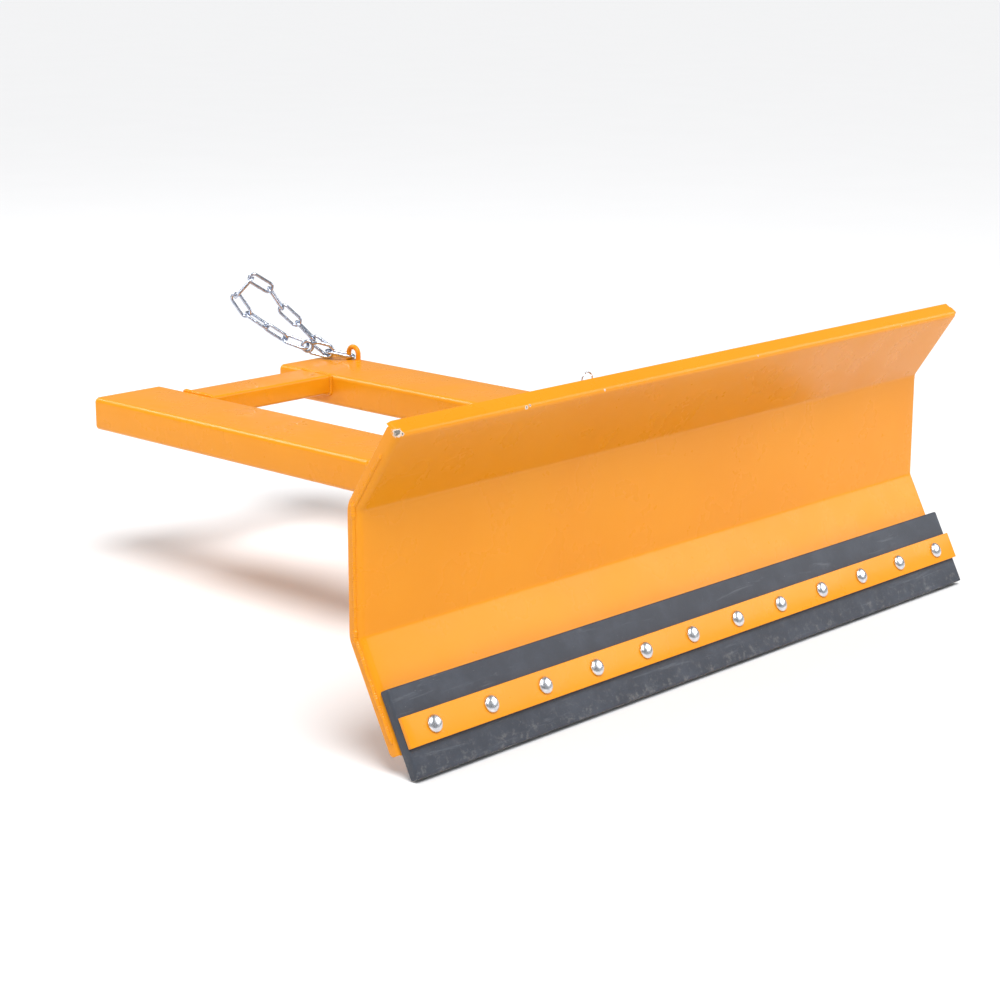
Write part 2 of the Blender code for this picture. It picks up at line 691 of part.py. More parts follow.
def make_strand(number, start, steps):
    """Links drawn one from the next: rise, roll and lean. Returns the last end wire's middle."""
    ways = [chain_heading(rise, lean) for rise, roll, lean in steps]
    for index, (step, way) in enumerate(zip(steps, ways)):
        place_link(f"link_{number + index:02d}", start + way * LINK_REACH / 2, way, step[1])
        end = start + way * LINK_REACH
        if index + 1 < len(steps):
            start = next_start(end, step, way, steps[index + 1], ways[index + 1])
    return end


def peak_over(left, left_reach, right, right_reach):
    """The point above two others that lies at given distances from them."""
    span = right - left
    along = (left_reach ** 2 - right_reach ** 2 + span.length_squared) / (2 * span.length)
    up = (Z - span * Z.dot(span) / span.length_squared).normalized()
    return left + span.normalized() * along + up * math.sqrt(left_reach ** 2 - along ** 2)


def make_chain():
    tilt = chain_heading(12.0)
    first_centre = chain_point(0, 0.0075) + tilt * (FIRST_INNER[0] / 2 - EYE_BAR_RADIUS - 0.0012)
    flat = tilt.cross(SIDE).normalized()
    matrix = axes(tilt, flat.cross(tilt), flat, first_centre)
    stadium_points = stadium(*FIRST_INNER, FIRST_WIRE)
    place("first_link", wire_data("first_link", stadium_points, FIRST_WIRE, closed=True), "zinc", matrix)
    # Where the first link's far bend passes beside its middle, on either side
    bend_centre = (FIRST_INNER[0] - FIRST_INNER[1]) / 2
    bend_radius = FIRST_INNER[1] / 2 + FIRST_WIRE
    far_bend = first_centre + tilt * (bend_centre + math.sqrt(bend_radius ** 2 - CATCH_ASIDE ** 2))

    # Upper strand, from the first link
    start = far_bend - SIDE * (CATCH_ASIDE - 0.0006) - chain_heading(UPPER_STRAND[0][0]) * 0.0122
    upper_end = make_strand(1, start, UPPER_STRAND)
    # Lower strand, from the snap hook's ring
    nose = first_centre + tilt * (bend_centre - 0.0005) + SIDE * (CATCH_ASIDE - 0.0005)
    ring = make_snap_hook(nose, chain_heading(14.0))
    lower_end = make_strand(5, ring - chain_heading(20.0) * 0.0008, LOWER_STRAND)
    # Two closing links, one broadside and one flat, join the strands' ends
    lower_end -= chain_heading(LOWER_STRAND[-1][0], LOWER_STRAND[-1][2]) * WIRE_SPACING
    peak = peak_over(upper_end, LINK_REACH - 2 * WIRE_SPACING, lower_end, LINK_REACH)
    lower_way = (peak - lower_end).normalized()
    upper_way = (peak - upper_end).normalized()
    place_link("link_09", lower_end + lower_way * LINK_REACH / 2, lower_way, 90)
    place_link("link_10", upper_end + upper_way * (LINK_REACH / 2 - WIRE_SPACING), upper_way, 0)


def make_snap_hook(nose, heading):
    """The hook's frame: local X from the nose to the ring, local Y up. Returns the ring's centre."""
    up = -heading.cross(SIDE).normalized()
    if up.z < 0:
        up = -up
    matrix = axes(heading, up, heading.cross(up), nose)
    nose_bend = arc((HOOK_BEND, 0), HOOK_BEND, math.pi * 1.5, math.pi / 2, 10)
    frame = [(HOOK_BEND + 0.004, -HOOK_BEND)] + nose_bend
    frame += [(HOOK_SPINE, HOOK_BEND), (HOOK_RING_X - 0.008, 0.0075)]
    frame_data = wire_data("snap_hook", [(x, y, 0) for x, y in frame], HOOK_WIRE)
    body = as_mesh(place("snap_hook", frame_data, "zinc", matrix))
    body.data.materials.append(material_for("snap_hook", "zinc"))
    ring = [(x, y, 0) for x, y in circle(HOOK_RING_RADIUS, 20, (HOOK_RING_X, 0))]
    ring_data = wire_data("hook_ring", ring, HOOK_RING_WIRE, closed=True)
    hinge = Vector(HOOK_HINGE)
    knuckle = [HOOK_HINGE, tuple(hinge + X * 0.003), (HOOK_RING_X - 0.005, -0.0098, 0)]
    knuckle_data = wire_data("hook_knuckle", knuckle, HOOK_KNUCKLE_WIRE)
    for name, data in (("hook_ring", ring_data), ("hook_knuckle", knuckle_data)):
        cutter = as_mesh(place_cutter(name, data, matrix))
        cutter.hide_render = True
        cutter.display_type = "WIRE"
        boolean(body, cutter, "UNION")
    latch = Vector(HOOK_LATCH)
    gate_way = (latch - hinge).normalized()
    gate = [tuple(gate_way * 0.0015), tuple(latch - hinge)]
    place("hook_gate", wire_data("hook_gate", gate, HOOK_GATE_WIRE), "zinc",
          matrix @ Matrix.Translation(hinge))
    return matrix @ Vector((HOOK_RING_X, 0, 0))


make_moldboard()
make_end_plates()
make_ribs()
make_upper_lug()
make_quadrant_plate()
make_rubber_and_bar()
make_bolts_and_nuts()
make_pockets()
make_front_beam()
make_rear_crossbar()
make_pivot_arm()
make_pivot_tube()
make_arm_gusset()
make_chain_eye()
ring_z, clip_z = make_pivot_pin()
make_pin_ring(ring_z)
make_pin_washer()
make_pin_clip(clip_z)
make_swivel_clamp()
make_chain()
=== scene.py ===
"""Looks for the fork-mounted snow plough blade: painted steel, a rubber wiper, zinc bolts and chain."""

import math

import bmesh
import bpy
import numpy as np
from mathutils import Matrix, Vector, noise


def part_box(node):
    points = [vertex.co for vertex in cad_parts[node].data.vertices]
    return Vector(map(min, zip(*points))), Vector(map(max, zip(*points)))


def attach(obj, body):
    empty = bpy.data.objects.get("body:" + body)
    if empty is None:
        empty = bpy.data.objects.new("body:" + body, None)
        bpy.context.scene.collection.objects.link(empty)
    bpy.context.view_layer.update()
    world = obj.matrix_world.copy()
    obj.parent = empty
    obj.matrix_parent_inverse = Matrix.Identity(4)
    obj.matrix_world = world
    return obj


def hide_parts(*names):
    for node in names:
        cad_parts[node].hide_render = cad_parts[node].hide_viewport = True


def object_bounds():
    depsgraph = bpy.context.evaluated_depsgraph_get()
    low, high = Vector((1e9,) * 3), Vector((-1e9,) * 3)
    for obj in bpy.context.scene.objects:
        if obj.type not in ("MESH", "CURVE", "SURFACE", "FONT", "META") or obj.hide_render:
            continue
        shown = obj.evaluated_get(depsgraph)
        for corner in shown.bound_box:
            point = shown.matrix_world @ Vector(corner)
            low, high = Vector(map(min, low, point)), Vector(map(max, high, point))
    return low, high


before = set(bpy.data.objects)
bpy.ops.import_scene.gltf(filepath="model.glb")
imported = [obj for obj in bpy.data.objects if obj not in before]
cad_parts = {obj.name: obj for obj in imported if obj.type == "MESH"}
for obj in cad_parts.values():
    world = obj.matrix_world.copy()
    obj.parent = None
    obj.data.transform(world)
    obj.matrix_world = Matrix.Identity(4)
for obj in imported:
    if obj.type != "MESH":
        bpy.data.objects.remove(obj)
cad_low, cad_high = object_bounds()

X = Vector((1, 0, 0))
Y = Vector((0, 1, 0))
Z = Vector((0, 0, 1))

# Sizes of the folded blade, in metres, as the CAD has them
SHEET = 0.005
MIDDLE_HEIGHT = 0.200
TOP_HEIGHT = 0.160
LOW_HEIGHT = 0.189
TOP_LEAN = math.radians(34.0)
LOW_LEAN = math.radians(27.5)
TOP_FLANGE = 0.031
CREASE_RADIUS = 0.014
TOP_EDGE_RADIUS = 0.009
END_DEPTH = 0.026
END_CORNER = 0.011            # round of the blade's front corner into its end plate
SHEET_EDGE = 0.0014           # rounding of the sheet's cut edges
PLATE_EDGE = 0.0016           # and of the end plates'
BACK_CORNER = 0.008           # of an end plate, seen from the side: low
REAR_CORNER = 0.006           # and high
TOP_REACH = TOP_HEIGHT - 0.0025
TOP_FACE_END = LOW_HEIGHT + MIDDLE_HEIGHT + TOP_HEIGHT - 0.034     # along the blade's line
EDGE_DEGREES = (80, 50, 22)   # steps of a rounded edge, outermost first
STRIP_CENTRE = 0.160          # down the low facet from its crease
RUBBER_WIDTH = 0.145
RUBBER_THICK = 0.020
RUBBER_SEAT = 0.0003          # height over the sheet
BAR_WIDTH = 0.050
BAR_THICK = 0.008
BAR_SEAT = RUBBER_THICK + 0.0006
HEAD_RADIUS = 0.0145
HEAD_HEIGHT = 0.0078
HEAD_SEAT = RUBBER_THICK + BAR_THICK + 0.0009
HEAD_SKIRT = 0.0012           # height of the head's upright rim
SHANK_RADIUS = 0.006
THREAD_PITCH = 0.00125
THREAD_DEPTH = 0.0009
NUT_RADIUS = 0.0108
NUT_HEIGHT = 0.011
NUT_STAND = 0.0003            # clearance behind the sheet
BOLT_TURN = math.radians(47.0)     # from each bolt to the next

POCKET_WALL = 0.005
POCKET_CORNER = 0.010
BEAM_CORNER = 0.008
CROSSBAR_WALL = 0.004
CROSSBAR_CORNER = 0.006

LINK_WIRE = 0.0035
LINK_INNER = (0.049, 0.014)
FIRST_WIRE = 0.004
FIRST_INNER = (0.052, 0.018)
LINK_WELD_SWELL = 0.10
LINK_WELD_REACH = 0.0022
EYE_BAR = 0.0055
RING_WIRE = 0.0015
HOOK_BEND = 0.0135
HOOK_SPINE = 0.036
HOOK_WIRE = 0.0036
HOOK_SWELL = 0.0006
HOOK_RING_X = 0.0565
HOOK_RING = 0.0114
HOOK_RING_WIRE = 0.0037
KNUCKLE_WIRE = 0.0034
RIVET_RADIUS = 0.0013
RIVET_REACH = 0.0044
GATE_WIRE = (0.0030, 0.0025)  # at its hinge and at its catch
HOOK_HINGE = Vector((HOOK_RING_X - 0.0145, -0.0130, 0))
HOOK_LATCH = Vector((HOOK_BEND + 0.0046, -HOOK_BEND, 0))
CHAIN_HEADING = math.radians(133.7)
HOOK_RISE = math.radians(14.0)

# Radii of the weld beads
END_WELD = 0.0036
END_INSIDE_WELD = 0.0034
CREASE_WELD = 0.0050
RIB_WELD = 0.0034
LUG_WELD = 0.0030
CROSSBAR_WELD = 0.0046
POCKET_WELD = 0.0040
ARM_WELD = 0.0034
BUSH_WELD = 0.0032
SEAM_WELD = 0.0030
GUSSET_WELD = 0.0026
EYE_WELD = 0.0019

SHARP = math.radians(32.0)     # creases steeper than this are shaded sharp
LEFT, RIGHT = -1, 1

# Where the blade stands, from the frame
plate_low, plate_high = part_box("moldboard")
HALF_LENGTH = plate_high.x
FACE_Y = plate_high.y - SHEET
LOW_CREASE = Vector((0, FACE_Y, plate_low.z + LOW_HEIGHT * math.cos(LOW_LEAN) + SHEET * math.sin(LOW_LEAN)))
TOP_CREASE = LOW_CREASE + Z * MIDDLE_HEIGHT
DOWN_LOW = Vector((0, -math.sin(LOW_LEAN), -math.cos(LOW_LEAN)))
OUT_LOW = Vector((0, -math.cos(LOW_LEAN), math.sin(LOW_LEAN)))
UP_TOP = Vector((0, -math.sin(TOP_LEAN), math.cos(TOP_LEAN)))
BACK_TOP = Vector((0, math.cos(TOP_LEAN), math.sin(TOP_LEAN)))


# Materials
class Nodes:
    """A short way to write a node tree."""

    def __init__(self, name):
        self.material = bpy.data.materials.new(name)
        self.material.use_nodes = True
        self.tree = self.material.node_tree
        self.shader = self.tree.nodes["Principled BSDF"]
        self.coords = self.tree.nodes.new("ShaderNodeTexCoord").outputs["Object"]

    def link(self, source, target):
        self.tree.links.new(source, target)

    def put(self, socket, value):
        if isinstance(value, bpy.types.NodeSocket):
            self.link(value, socket)
        else:
            socket.default_value = value

    def math(self, operation, first, second=0.0, clamp=False):
        node = self.tree.nodes.new("ShaderNodeMath")
        node.operation = operation
        node.use_clamp = clamp
        self.put(node.inputs[0], first)
        self.put(node.inputs[1], second)
        return node.outputs[0]

    def stretch(self, scale):
        node = self.tree.nodes.new("ShaderNodeMapping")
        self.link(self.coords, node.inputs["Vector"])
        node.inputs["Scale"].default_value = scale
        return node.outputs["Vector"]

    def noise(self, scale, detail=3.0, roughness=0.55, coords=None, distortion=0.0):
        node = self.tree.nodes.new("ShaderNodeTexNoise")
        self.link(coords or self.coords, node.inputs["Vector"])
        node.inputs["Scale"].default_value = scale
        node.inputs["Detail"].default_value = detail
        node.inputs["Roughness"].default_value = roughness
        node.inputs["Distortion"].default_value = distortion
        return node.outputs["Fac"]

    def ramp(self, value, low, high, to_low=0.0, to_high=1.0):
        node = self.tree.nodes.new("ShaderNodeMapRange")
        node.interpolation_type = "SMOOTHSTEP"
        self.put(node.inputs["Value"], value)
        node.inputs["From Min"].default_value = low
        node.inputs["From Max"].default_value = high
        node.inputs["To Min"].default_value = to_low
        node.inputs["To Max"].default_value = to_high
        return node.outputs["Result"]

    def mix(self, fac, first, second):
        node = self.tree.nodes.new("ShaderNodeMix")
        node.data_type = "RGBA"
        self.put(node.inputs["Factor"], fac)
        self.put(node.inputs["A"], first)
        self.put(node.inputs["B"], second)
        return node.outputs["Result"]

    def near(self, place, radius, wobble):
        """1 within a ragged radius of a point, 0 outside it."""
        node = self.tree.nodes.new("ShaderNodeVectorMath")
        node.operation = "DISTANCE"
        self.link(self.coords, node.inputs[0])
        node.inputs[1].default_value = place
        reach = self.math("ADD", node.outputs["Value"], self.math("MULTIPLY", wobble, radius * 2.4))
        return self.ramp(reach, radius * 2.15, radius * 2.25, 1.0, 0.0)

    def bump(self, height, strength, distance):
        node = self.tree.nodes.new("ShaderNodeBump")
        node.inputs["Strength"].default_value = strength
        node.inputs["Distance"].default_value = distance
        self.put(node.inputs["Height"], height)
        return node.outputs["Normal"]


PAINT = (0.78, 0.285, 0.006, 1)
PAINT_DEEP = (0.75, 0.258, 0.004, 1)
PAINT_PALE = (0.82, 0.36, 0.03, 1)
PAINT_SCUFF = (0.88, 0.46, 0.12, 1)
PAINT_NIB = (0.42, 0.15, 0.02, 1)
PRIMER = (0.72, 0.60, 0.50, 1)
BARE_STEEL = (0.16, 0.15, 0.13, 1)
CHIP_CORE = 0.62              # radius of the bare steel within a chip, as a share of it
RUBBER_DARK = (0.030, 0.036, 0.050, 1)
RUBBER_PALE = (0.046, 0.055, 0.074, 1)
RUB_MARK = (0.19, 0.21, 0.24, 1)
ROAD_DUST = (0.40, 0.39, 0.36, 1)
DUST_REACH = 0.055            # up from the ground
SPECK = (0.36, 0.36, 0.35, 1)
ZINC_TINT = (0.62, 0.66, 0.78, 1)
ZINC_PIT = (0.22, 0.20, 0.18, 1)


def chip_mask(n, chips, share, wobble):
    """1 within each chip's radius, cut down to a share of it."""
    mask = 0.0
    for place, radius in chips:
        mask = n.math("MAXIMUM", mask, n.near(place, radius * share, wobble))
    return mask


def paint_material(name, chips=()):
    """Sprayed enamel: orange peel, soft colour drift, dust nibs, fine scratches and, where given, chips."""
    n = Nodes(name)
    drift = n.ramp(n.noise(3.2, 2.0), 0.35, 0.70)
    mottle = n.ramp(n.noise(38.0, 4.0), 0.40, 0.75)
    colour = n.mix(n.math("MULTIPLY", drift, 0.55), PAINT, PAINT_DEEP)
    colour = n.mix(n.math("MULTIPLY", mottle, 0.05), colour, PAINT_PALE)
    nibs = n.ramp(n.noise(620.0, 2.0, 0.6), 0.74, 0.80)
    colour = n.mix(n.math("MULTIPLY", nibs, 0.20), colour, PAINT_NIB)
    scratches = n.ramp(n.noise(9.0, 5.0, 0.7, n.stretch((0.6, 14.0, 26.0)), 0.6), 0.665, 0.70)
    colour = n.mix(n.math("MULTIPLY", scratches, 0.07), colour, PAINT_SCUFF)
    gloss = n.ramp(n.noise(14.0, 5.0), 0.30, 0.75, 0.25, 0.36)
    rough = n.math("ADD", gloss, n.math("MULTIPLY", scratches, 0.06))
    height = n.math("ADD", n.noise(240.0, 2.0, 0.5), n.math("MULTIPLY", nibs, 0.8))
    if chips:
        wobble = n.noise(260.0, 3.0, 0.7)
        rims = chip_mask(n, chips, 1.0, wobble)
        colour = n.mix(rims, colour, PRIMER)
        colour = n.mix(chip_mask(n, chips, CHIP_CORE, wobble), colour, BARE_STEEL)
        rough = n.math("ADD", rough, n.math("MULTIPLY", rims, 0.3), clamp=True)
        height = n.math("SUBTRACT", height, n.math("MULTIPLY", rims, 3.0))
    n.put(n.shader.inputs["Base Color"], colour)
    n.put(n.shader.inputs["Roughness"], rough)
    n.put(n.shader.inputs["Specular IOR Level"], 0.24)
    n.put(n.shader.inputs["Coat Weight"], 0.07)
    n.put(n.shader.inputs["Coat Roughness"], 0.12)
    n.put(n.shader.inputs["Normal"], n.bump(height, 0.10, 0.0006))
    return n.material


def rubber_material():
    """Reinforced rubber: fine grain, shallow rub marks along its length and dust towards its lower edge."""
    n = Nodes("rubber_strip")
    cloud = n.ramp(n.noise(16.0, 5.0, 0.65), 0.35, 0.75)
    colour = n.mix(cloud, RUBBER_DARK, RUBBER_PALE)
    rubs = n.ramp(n.noise(8.0, 5.0, 0.7, n.stretch((1.0, 9.0, 9.0)), 0.4), 0.56, 0.74)
    colour = n.mix(n.math("MULTIPLY", rubs, 0.30), colour, RUB_MARK)
    separate = n.tree.nodes.new("ShaderNodeSeparateXYZ")
    n.link(n.coords, separate.inputs[0])
    low = n.ramp(separate.outputs["Z"], GROUND_Z, GROUND_Z + DUST_REACH, 1.0, 0.0)
    grit = n.ramp(n.noise(75.0, 6.0, 0.72), 0.50, 0.70)
    dust = n.math("MULTIPLY", low, grit)
    colour = n.mix(n.math("MULTIPLY", dust, 0.30), colour, ROAD_DUST)
    specks = n.ramp(n.noise(430.0, 2.0), 0.735, 0.76)
    colour = n.mix(n.math("MULTIPLY", specks, 0.45), colour, SPECK)
    grain = n.noise(900.0, 3.0)
    height = n.math("ADD", grain, n.math("MULTIPLY", n.noise(30.0, 3.0), 1.6))
    rough = n.math("ADD", n.ramp(grain, 0.3, 0.7, 0.48, 0.60), n.math("MULTIPLY", dust, 0.25))
    n.put(n.shader.inputs["Base Color"], colour)
    n.put(n.shader.inputs["Roughness"], rough)
    n.put(n.shader.inputs["Normal"], n.bump(height, 0.30, 0.0005))
    return n.material


def zinc_material(name, bright, dull, rough_low, rough_high, grime):
    """Zinc plate: cloudy brightness, passivation tint, pits and scratches."""
    n = Nodes(name)
    cloud = n.ramp(n.noise(120.0, 5.0, 0.6), 0.32, 0.72)
    colour = n.mix(cloud, bright, dull)
    tint = n.ramp(n.noise(45.0, 2.0), 0.50, 0.75)
    colour = n.mix(n.math("MULTIPLY", tint, 0.22), colour, ZINC_TINT)
    pits = n.ramp(n.noise(900.0, 2.0), 0.70, 0.78)
    colour = n.mix(n.math("MULTIPLY", pits, grime), colour, ZINC_PIT)
    scratches = n.noise(220.0, 4.0, 0.7, n.stretch((1.0, 6.0, 1.0)), 0.5)
    polish = n.ramp(scratches, 0.35, 0.70, rough_low, rough_high)
    rough = n.math("ADD", polish, n.math("MULTIPLY", pits, 0.2))
    n.put(n.shader.inputs["Base Color"], colour)
    n.put(n.shader.inputs["Metallic"], 1.0)
    n.put(n.shader.inputs["Roughness"], rough)
    n.put(n.shader.inputs["Normal"], n.bump(n.math("SUBTRACT", scratches, pits), 0.12, 0.0002))
    return n.material


# Mesh helpers
def add_grid(work, rows, closed_rows=False):
    """Quads between rows of points; each row is a closed loop, and open runs of rows are capped."""
    loops = [[work.verts.new(point) for point in row] for row in rows]
    pairs = list(zip(loops, loops[1:]))
    if closed_rows:
        pairs.append((loops[-1], loops[0]))
    for first, second in pairs:
        count = len(first)
        for index in range(count):
            after = (index + 1) % count
            work.faces.new((first[index], first[after], second[after], second[index]))
    if not closed_rows:
        work.faces.new(list(reversed(loops[0])))
        work.faces.new(loops[-1])


def mesh_from(build, name):
    """A mesh from a function that fills a bmesh, with its faces turned outwards."""
    work = bmesh.new()
    build(work)
    bmesh.ops.recalc_face_normals(work, faces=work.faces)
    mesh = bpy.data.meshes.new(name)
    work.to_mesh(mesh)
    work.free()
    mesh.shade_smooth()
    mesh.set_sharp_from_angle(angle=SHARP)
    return mesh


def add_piece(name, mesh, body, material, nodes=(), matrix=None):
    """Put a piece in the scene on its body, in place of the CAD nodes it stands for."""
    piece = bpy.data.objects.new(name, mesh)
    bpy.context.scene.collection.objects.link(piece)
    if matrix is not None:
        piece.matrix_world = matrix
    mesh.materials.clear()
    mesh.materials.append(material)
    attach(piece, body)
    if nodes:
        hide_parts(*nodes)
    return piece


def arc(centre, radius, start, end, steps):
    points = []
    for step in range(steps + 1):
        angle = start + (end - start) * step / steps
        points.append((centre[0] + radius * math.cos(angle), centre[1] + radius * math.sin(angle)))
    return points


def rounded_box(width, height, radius, steps=7):
    points = []
    for side_x, side_y, turn in ((1, 1, 0.0), (-1, 1, 0.5), (-1, -1, 1.0), (1, -1, 1.5)):
        centre = (side_x * (width / 2 - radius), side_y * (height / 2 - radius))
        points += arc(centre, radius, turn * math.pi, (turn + 0.5) * math.pi, steps)
    return points


def axes(x_axis, y_axis, z_axis, origin):
    matrix = Matrix((x_axis, y_axis, z_axis)).transposed().to_4x4()
    matrix.translation = origin
    return matrix


def add_wire(work, points, radii, closed=False, sides=16):
    """A round bar along points, of one radius or one for each point; open ends are rounded off."""
    count = len(points)
    tangents = []
    for index in range(count):
        before = points[index - 1] if closed or index else points[0]
        after = points[(index + 1) % count] if closed or index < count - 1 else points[-1]
        tangents.append((after - before).normalized())
    normal = tangents[0].orthogonal().normalized()
    rings = []
    for index, (point, tangent) in enumerate(zip(points, tangents)):
        if index:
            normal = tangents[index - 1].rotation_difference(tangent) @ normal
        normal = (normal - tangent * normal.dot(tangent)).normalized()
        other = tangent.cross(normal)
        radius = radii[index] if hasattr(radii, "__len__") else radii
        rings.append((point, tangent, normal, other, radius))
    if closed:
        # Turn the rings little by little so that the bar closes without a twist
        _, _, start_normal, start_other, _ = rings[0]
        carried = tangents[-1].rotation_difference(tangents[0]) @ normal
        slip = math.atan2(carried.dot(start_other), carried.dot(start_normal))
        rows = [ring_points(ring, sides, -slip * index / count) for index, ring in enumerate(rings)]
    else:
        rows = end_rings(rings[0], -1, sides)
        rows += [ring_points(ring, sides) for ring in rings]
        rows += reversed(end_rings(rings[-1], 1, sides))
    add_grid(work, rows, closed_rows=closed)


def ring_points(ring, sides, turn=0.0):
    point, _, normal, other, radius = ring
    loop = []
    for side in range(sides):
        angle = 2 * math.pi * side / sides + turn
        loop.append(point + (normal * math.cos(angle) + other * math.sin(angle)) * radius)
    return loop


def end_rings(ring, way, sides):
    """Three shrinking rings that round off an end, outermost first."""
    point, tangent, normal, other, radius = ring
    edge = min(radius * 0.35, 0.0015)
    rows = []
    for degrees in (85, 55, 25):
        angle = math.radians(degrees)
        inset = edge * (1 - math.cos(angle))
        shrunk = (point + tangent * way * edge * math.sin(angle), tangent, normal, other, radius - inset)
        rows.append(ring_points(shrunk, sides))
    return rows


def lathe_rows(profile, segments):
    """Rings about local Z from (radius, z) pairs."""
    rows = []
    for radius, height in profile:
        row = []
        for step in range(segments):
            angle = 2 * math.pi * step / segments
            row.append(Vector((radius * math.cos(angle), radius * math.sin(angle), height)))
        rows.append(row)
    return rows


# The folded blade
def blade_line(fine=10):
    """The front line, low edge to the flange's rear edge: (distance, point, tangent, inward normal)."""
    bottom = LOW_CREASE + DOWN_LOW * LOW_HEIGHT
    top = TOP_CREASE + UP_TOP * TOP_HEIGHT
    corners = [bottom, LOW_CREASE, TOP_CREASE, top, top + BACK_TOP * TOP_FLANGE]
    radii = [CREASE_RADIUS, CREASE_RADIUS, TOP_EDGE_RADIUS]
    points = [corners[0]]
    for before, corner, after, radius in zip(corners, corners[1:], corners[2:], radii):
        toward = (before - corner).normalized()
        away = (after - corner).normalized()
        half = toward.angle(away) / 2
        centre = corner + (toward + away).normalized() * (radius / math.sin(half))
        reach = radius / math.tan(half)
        start = (corner + toward * reach - centre).normalized()
        end = (corner + away * reach - centre).normalized()
        for step in range(fine + 1):
            points.append(centre + start.slerp(end, step / fine) * radius)
    points.append(corners[-1])
    dense = [points[0]]
    for low, high in zip(points, points[1:]):
        pieces = max(1, round((high - low).length / 0.02))
        dense += [low.lerp(high, step / pieces) for step in range(1, pieces + 1)]
    line = []
    distance = 0.0
    for index, point in enumerate(dense):
        before = dense[max(index - 1, 0)]
        after = dense[min(index + 1, len(dense) - 1)]
        tangent = (after - before).normalized()
        if index:
            distance += (point - dense[index - 1]).length
        line.append((distance, point, tangent, tangent.cross(X)))
    return line


def corner_point(turn):
    """(inset, depth) on the front corner's round, by how far it has turned away from the face."""
    return (END_CORNER - END_CORNER * math.sin(turn), END_CORNER - END_CORNER * math.cos(turn))


def corner_round(steps=7):
    """(inset from the end, depth) along the blade's front corner, from its end to its face."""
    reach = math.acos(1 - SHEET / END_CORNER)
    turns = [reach * (1 - step / steps) for step in range(steps + 1)]
    return [corner_point(turn) for turn in turns]


def sheet_loop(point, normal, pinch):
    """The sheet's section at one height: its front with rounded ends, then its back."""
    corner = [(-HALF_LENGTH + inset, depth) for inset, depth in corner_round()]
    columns = 60
    inner = HALF_LENGTH - END_CORNER
    flat = [(-inner + 2 * inner * step / columns, 0.0) for step in range(1, columns)]
    front = corner + flat + [(-x, depth) for x, depth in reversed(corner)]
    tip = front[-1][0] - 0.004
    back = [(tip - 2 * tip * step / columns, SHEET) for step in range(columns + 1)]
    loop = []
    for x, depth in front:
        loop.append(point + X * x + normal * min(depth + pinch, SHEET - pinch * 0.5))
    for x, depth in back:
        loop.append(point + X * x + normal * (depth - pinch))
    return loop


def sheet_end(point, into, normal):
    """The sheet's rounded edge at one end of its line, outermost first."""
    rows = []
    for degrees in EDGE_DEGREES:
        angle = math.radians(degrees)
        place = point + into * (SHEET_EDGE - SHEET_EDGE * math.sin(angle))
        rows.append(sheet_loop(place, normal, SHEET_EDGE * (1 - math.cos(angle))))
    rows.append(sheet_loop(point + into * SHEET_EDGE * 1.05, normal, 0.0))
    return rows


def build_sheet(work):
    line = blade_line()
    _, point, tangent, normal = line[0]
    rows = sheet_end(point, tangent, normal)
    rows += [sheet_loop(point, normal, 0.0) for _, point, _, normal in line[1:-1]]
    _, point, tangent, normal = line[-1]
    rows += reversed(sheet_end(point, -tangent, normal))
    add_grid(work, rows)


def end_loop(side, point, normal, deepest):
    """The end plate's section at one height: it carries the sheet's round corner on to its flat."""
    start = math.acos(1 - SHEET / END_CORNER)
    outer = []
    for step in range(6):
        outer.append(corner_point(start + (math.pi / 2 - start) * step / 5))
    back = []
    for degrees in (0, 30, 60, 90):
        angle = math.radians(degrees)
        back.append((PLATE_EDGE * (1 - math.cos(angle)), deepest - PLATE_EDGE + PLATE_EDGE * math.sin(angle)))
    outer += back
    inner = [(SHEET - inset, depth) for inset, depth in reversed(back)]
    inner.append((SHEET, SHEET - 0.0002))
    loop = []
    for inset, depth in outer + inner:
        loop.append(point + X * side * (HALF_LENGTH - inset) + normal * depth)
    return loop


def build_end_plate(side):
    def build(work):
        rows = []
        line = blade_line()
        _, foot, tangent, normal = line[0]
        for step in range(7):
            turn = math.pi / 2 * step / 6
            rise = 0.001 + BACK_CORNER * (1 - math.cos(turn))
            cut = BACK_CORNER * (1 - math.sin(turn))
            rows.append(end_loop(side, foot + tangent * rise, normal, END_DEPTH - cut))
        for distance, point, _, normal in line[1:]:
            if distance <= TOP_FACE_END:
                rows.append(end_loop(side, point, normal, END_DEPTH))
        for step in range(5):
            turn = math.pi / 2 * step / 4
            rise = TOP_REACH - REAR_CORNER + REAR_CORNER * math.sin(turn)
            cut = REAR_CORNER * (1 - math.cos(turn))
            rows.append(end_loop(side, TOP_CREASE + UP_TOP * rise, BACK_TOP, END_DEPTH - cut))
        add_grid(work, rows)
    return build


def low_facet(down, height, x=0.0):
    return LOW_CREASE + DOWN_LOW * down + OUT_LOW * height + X * x


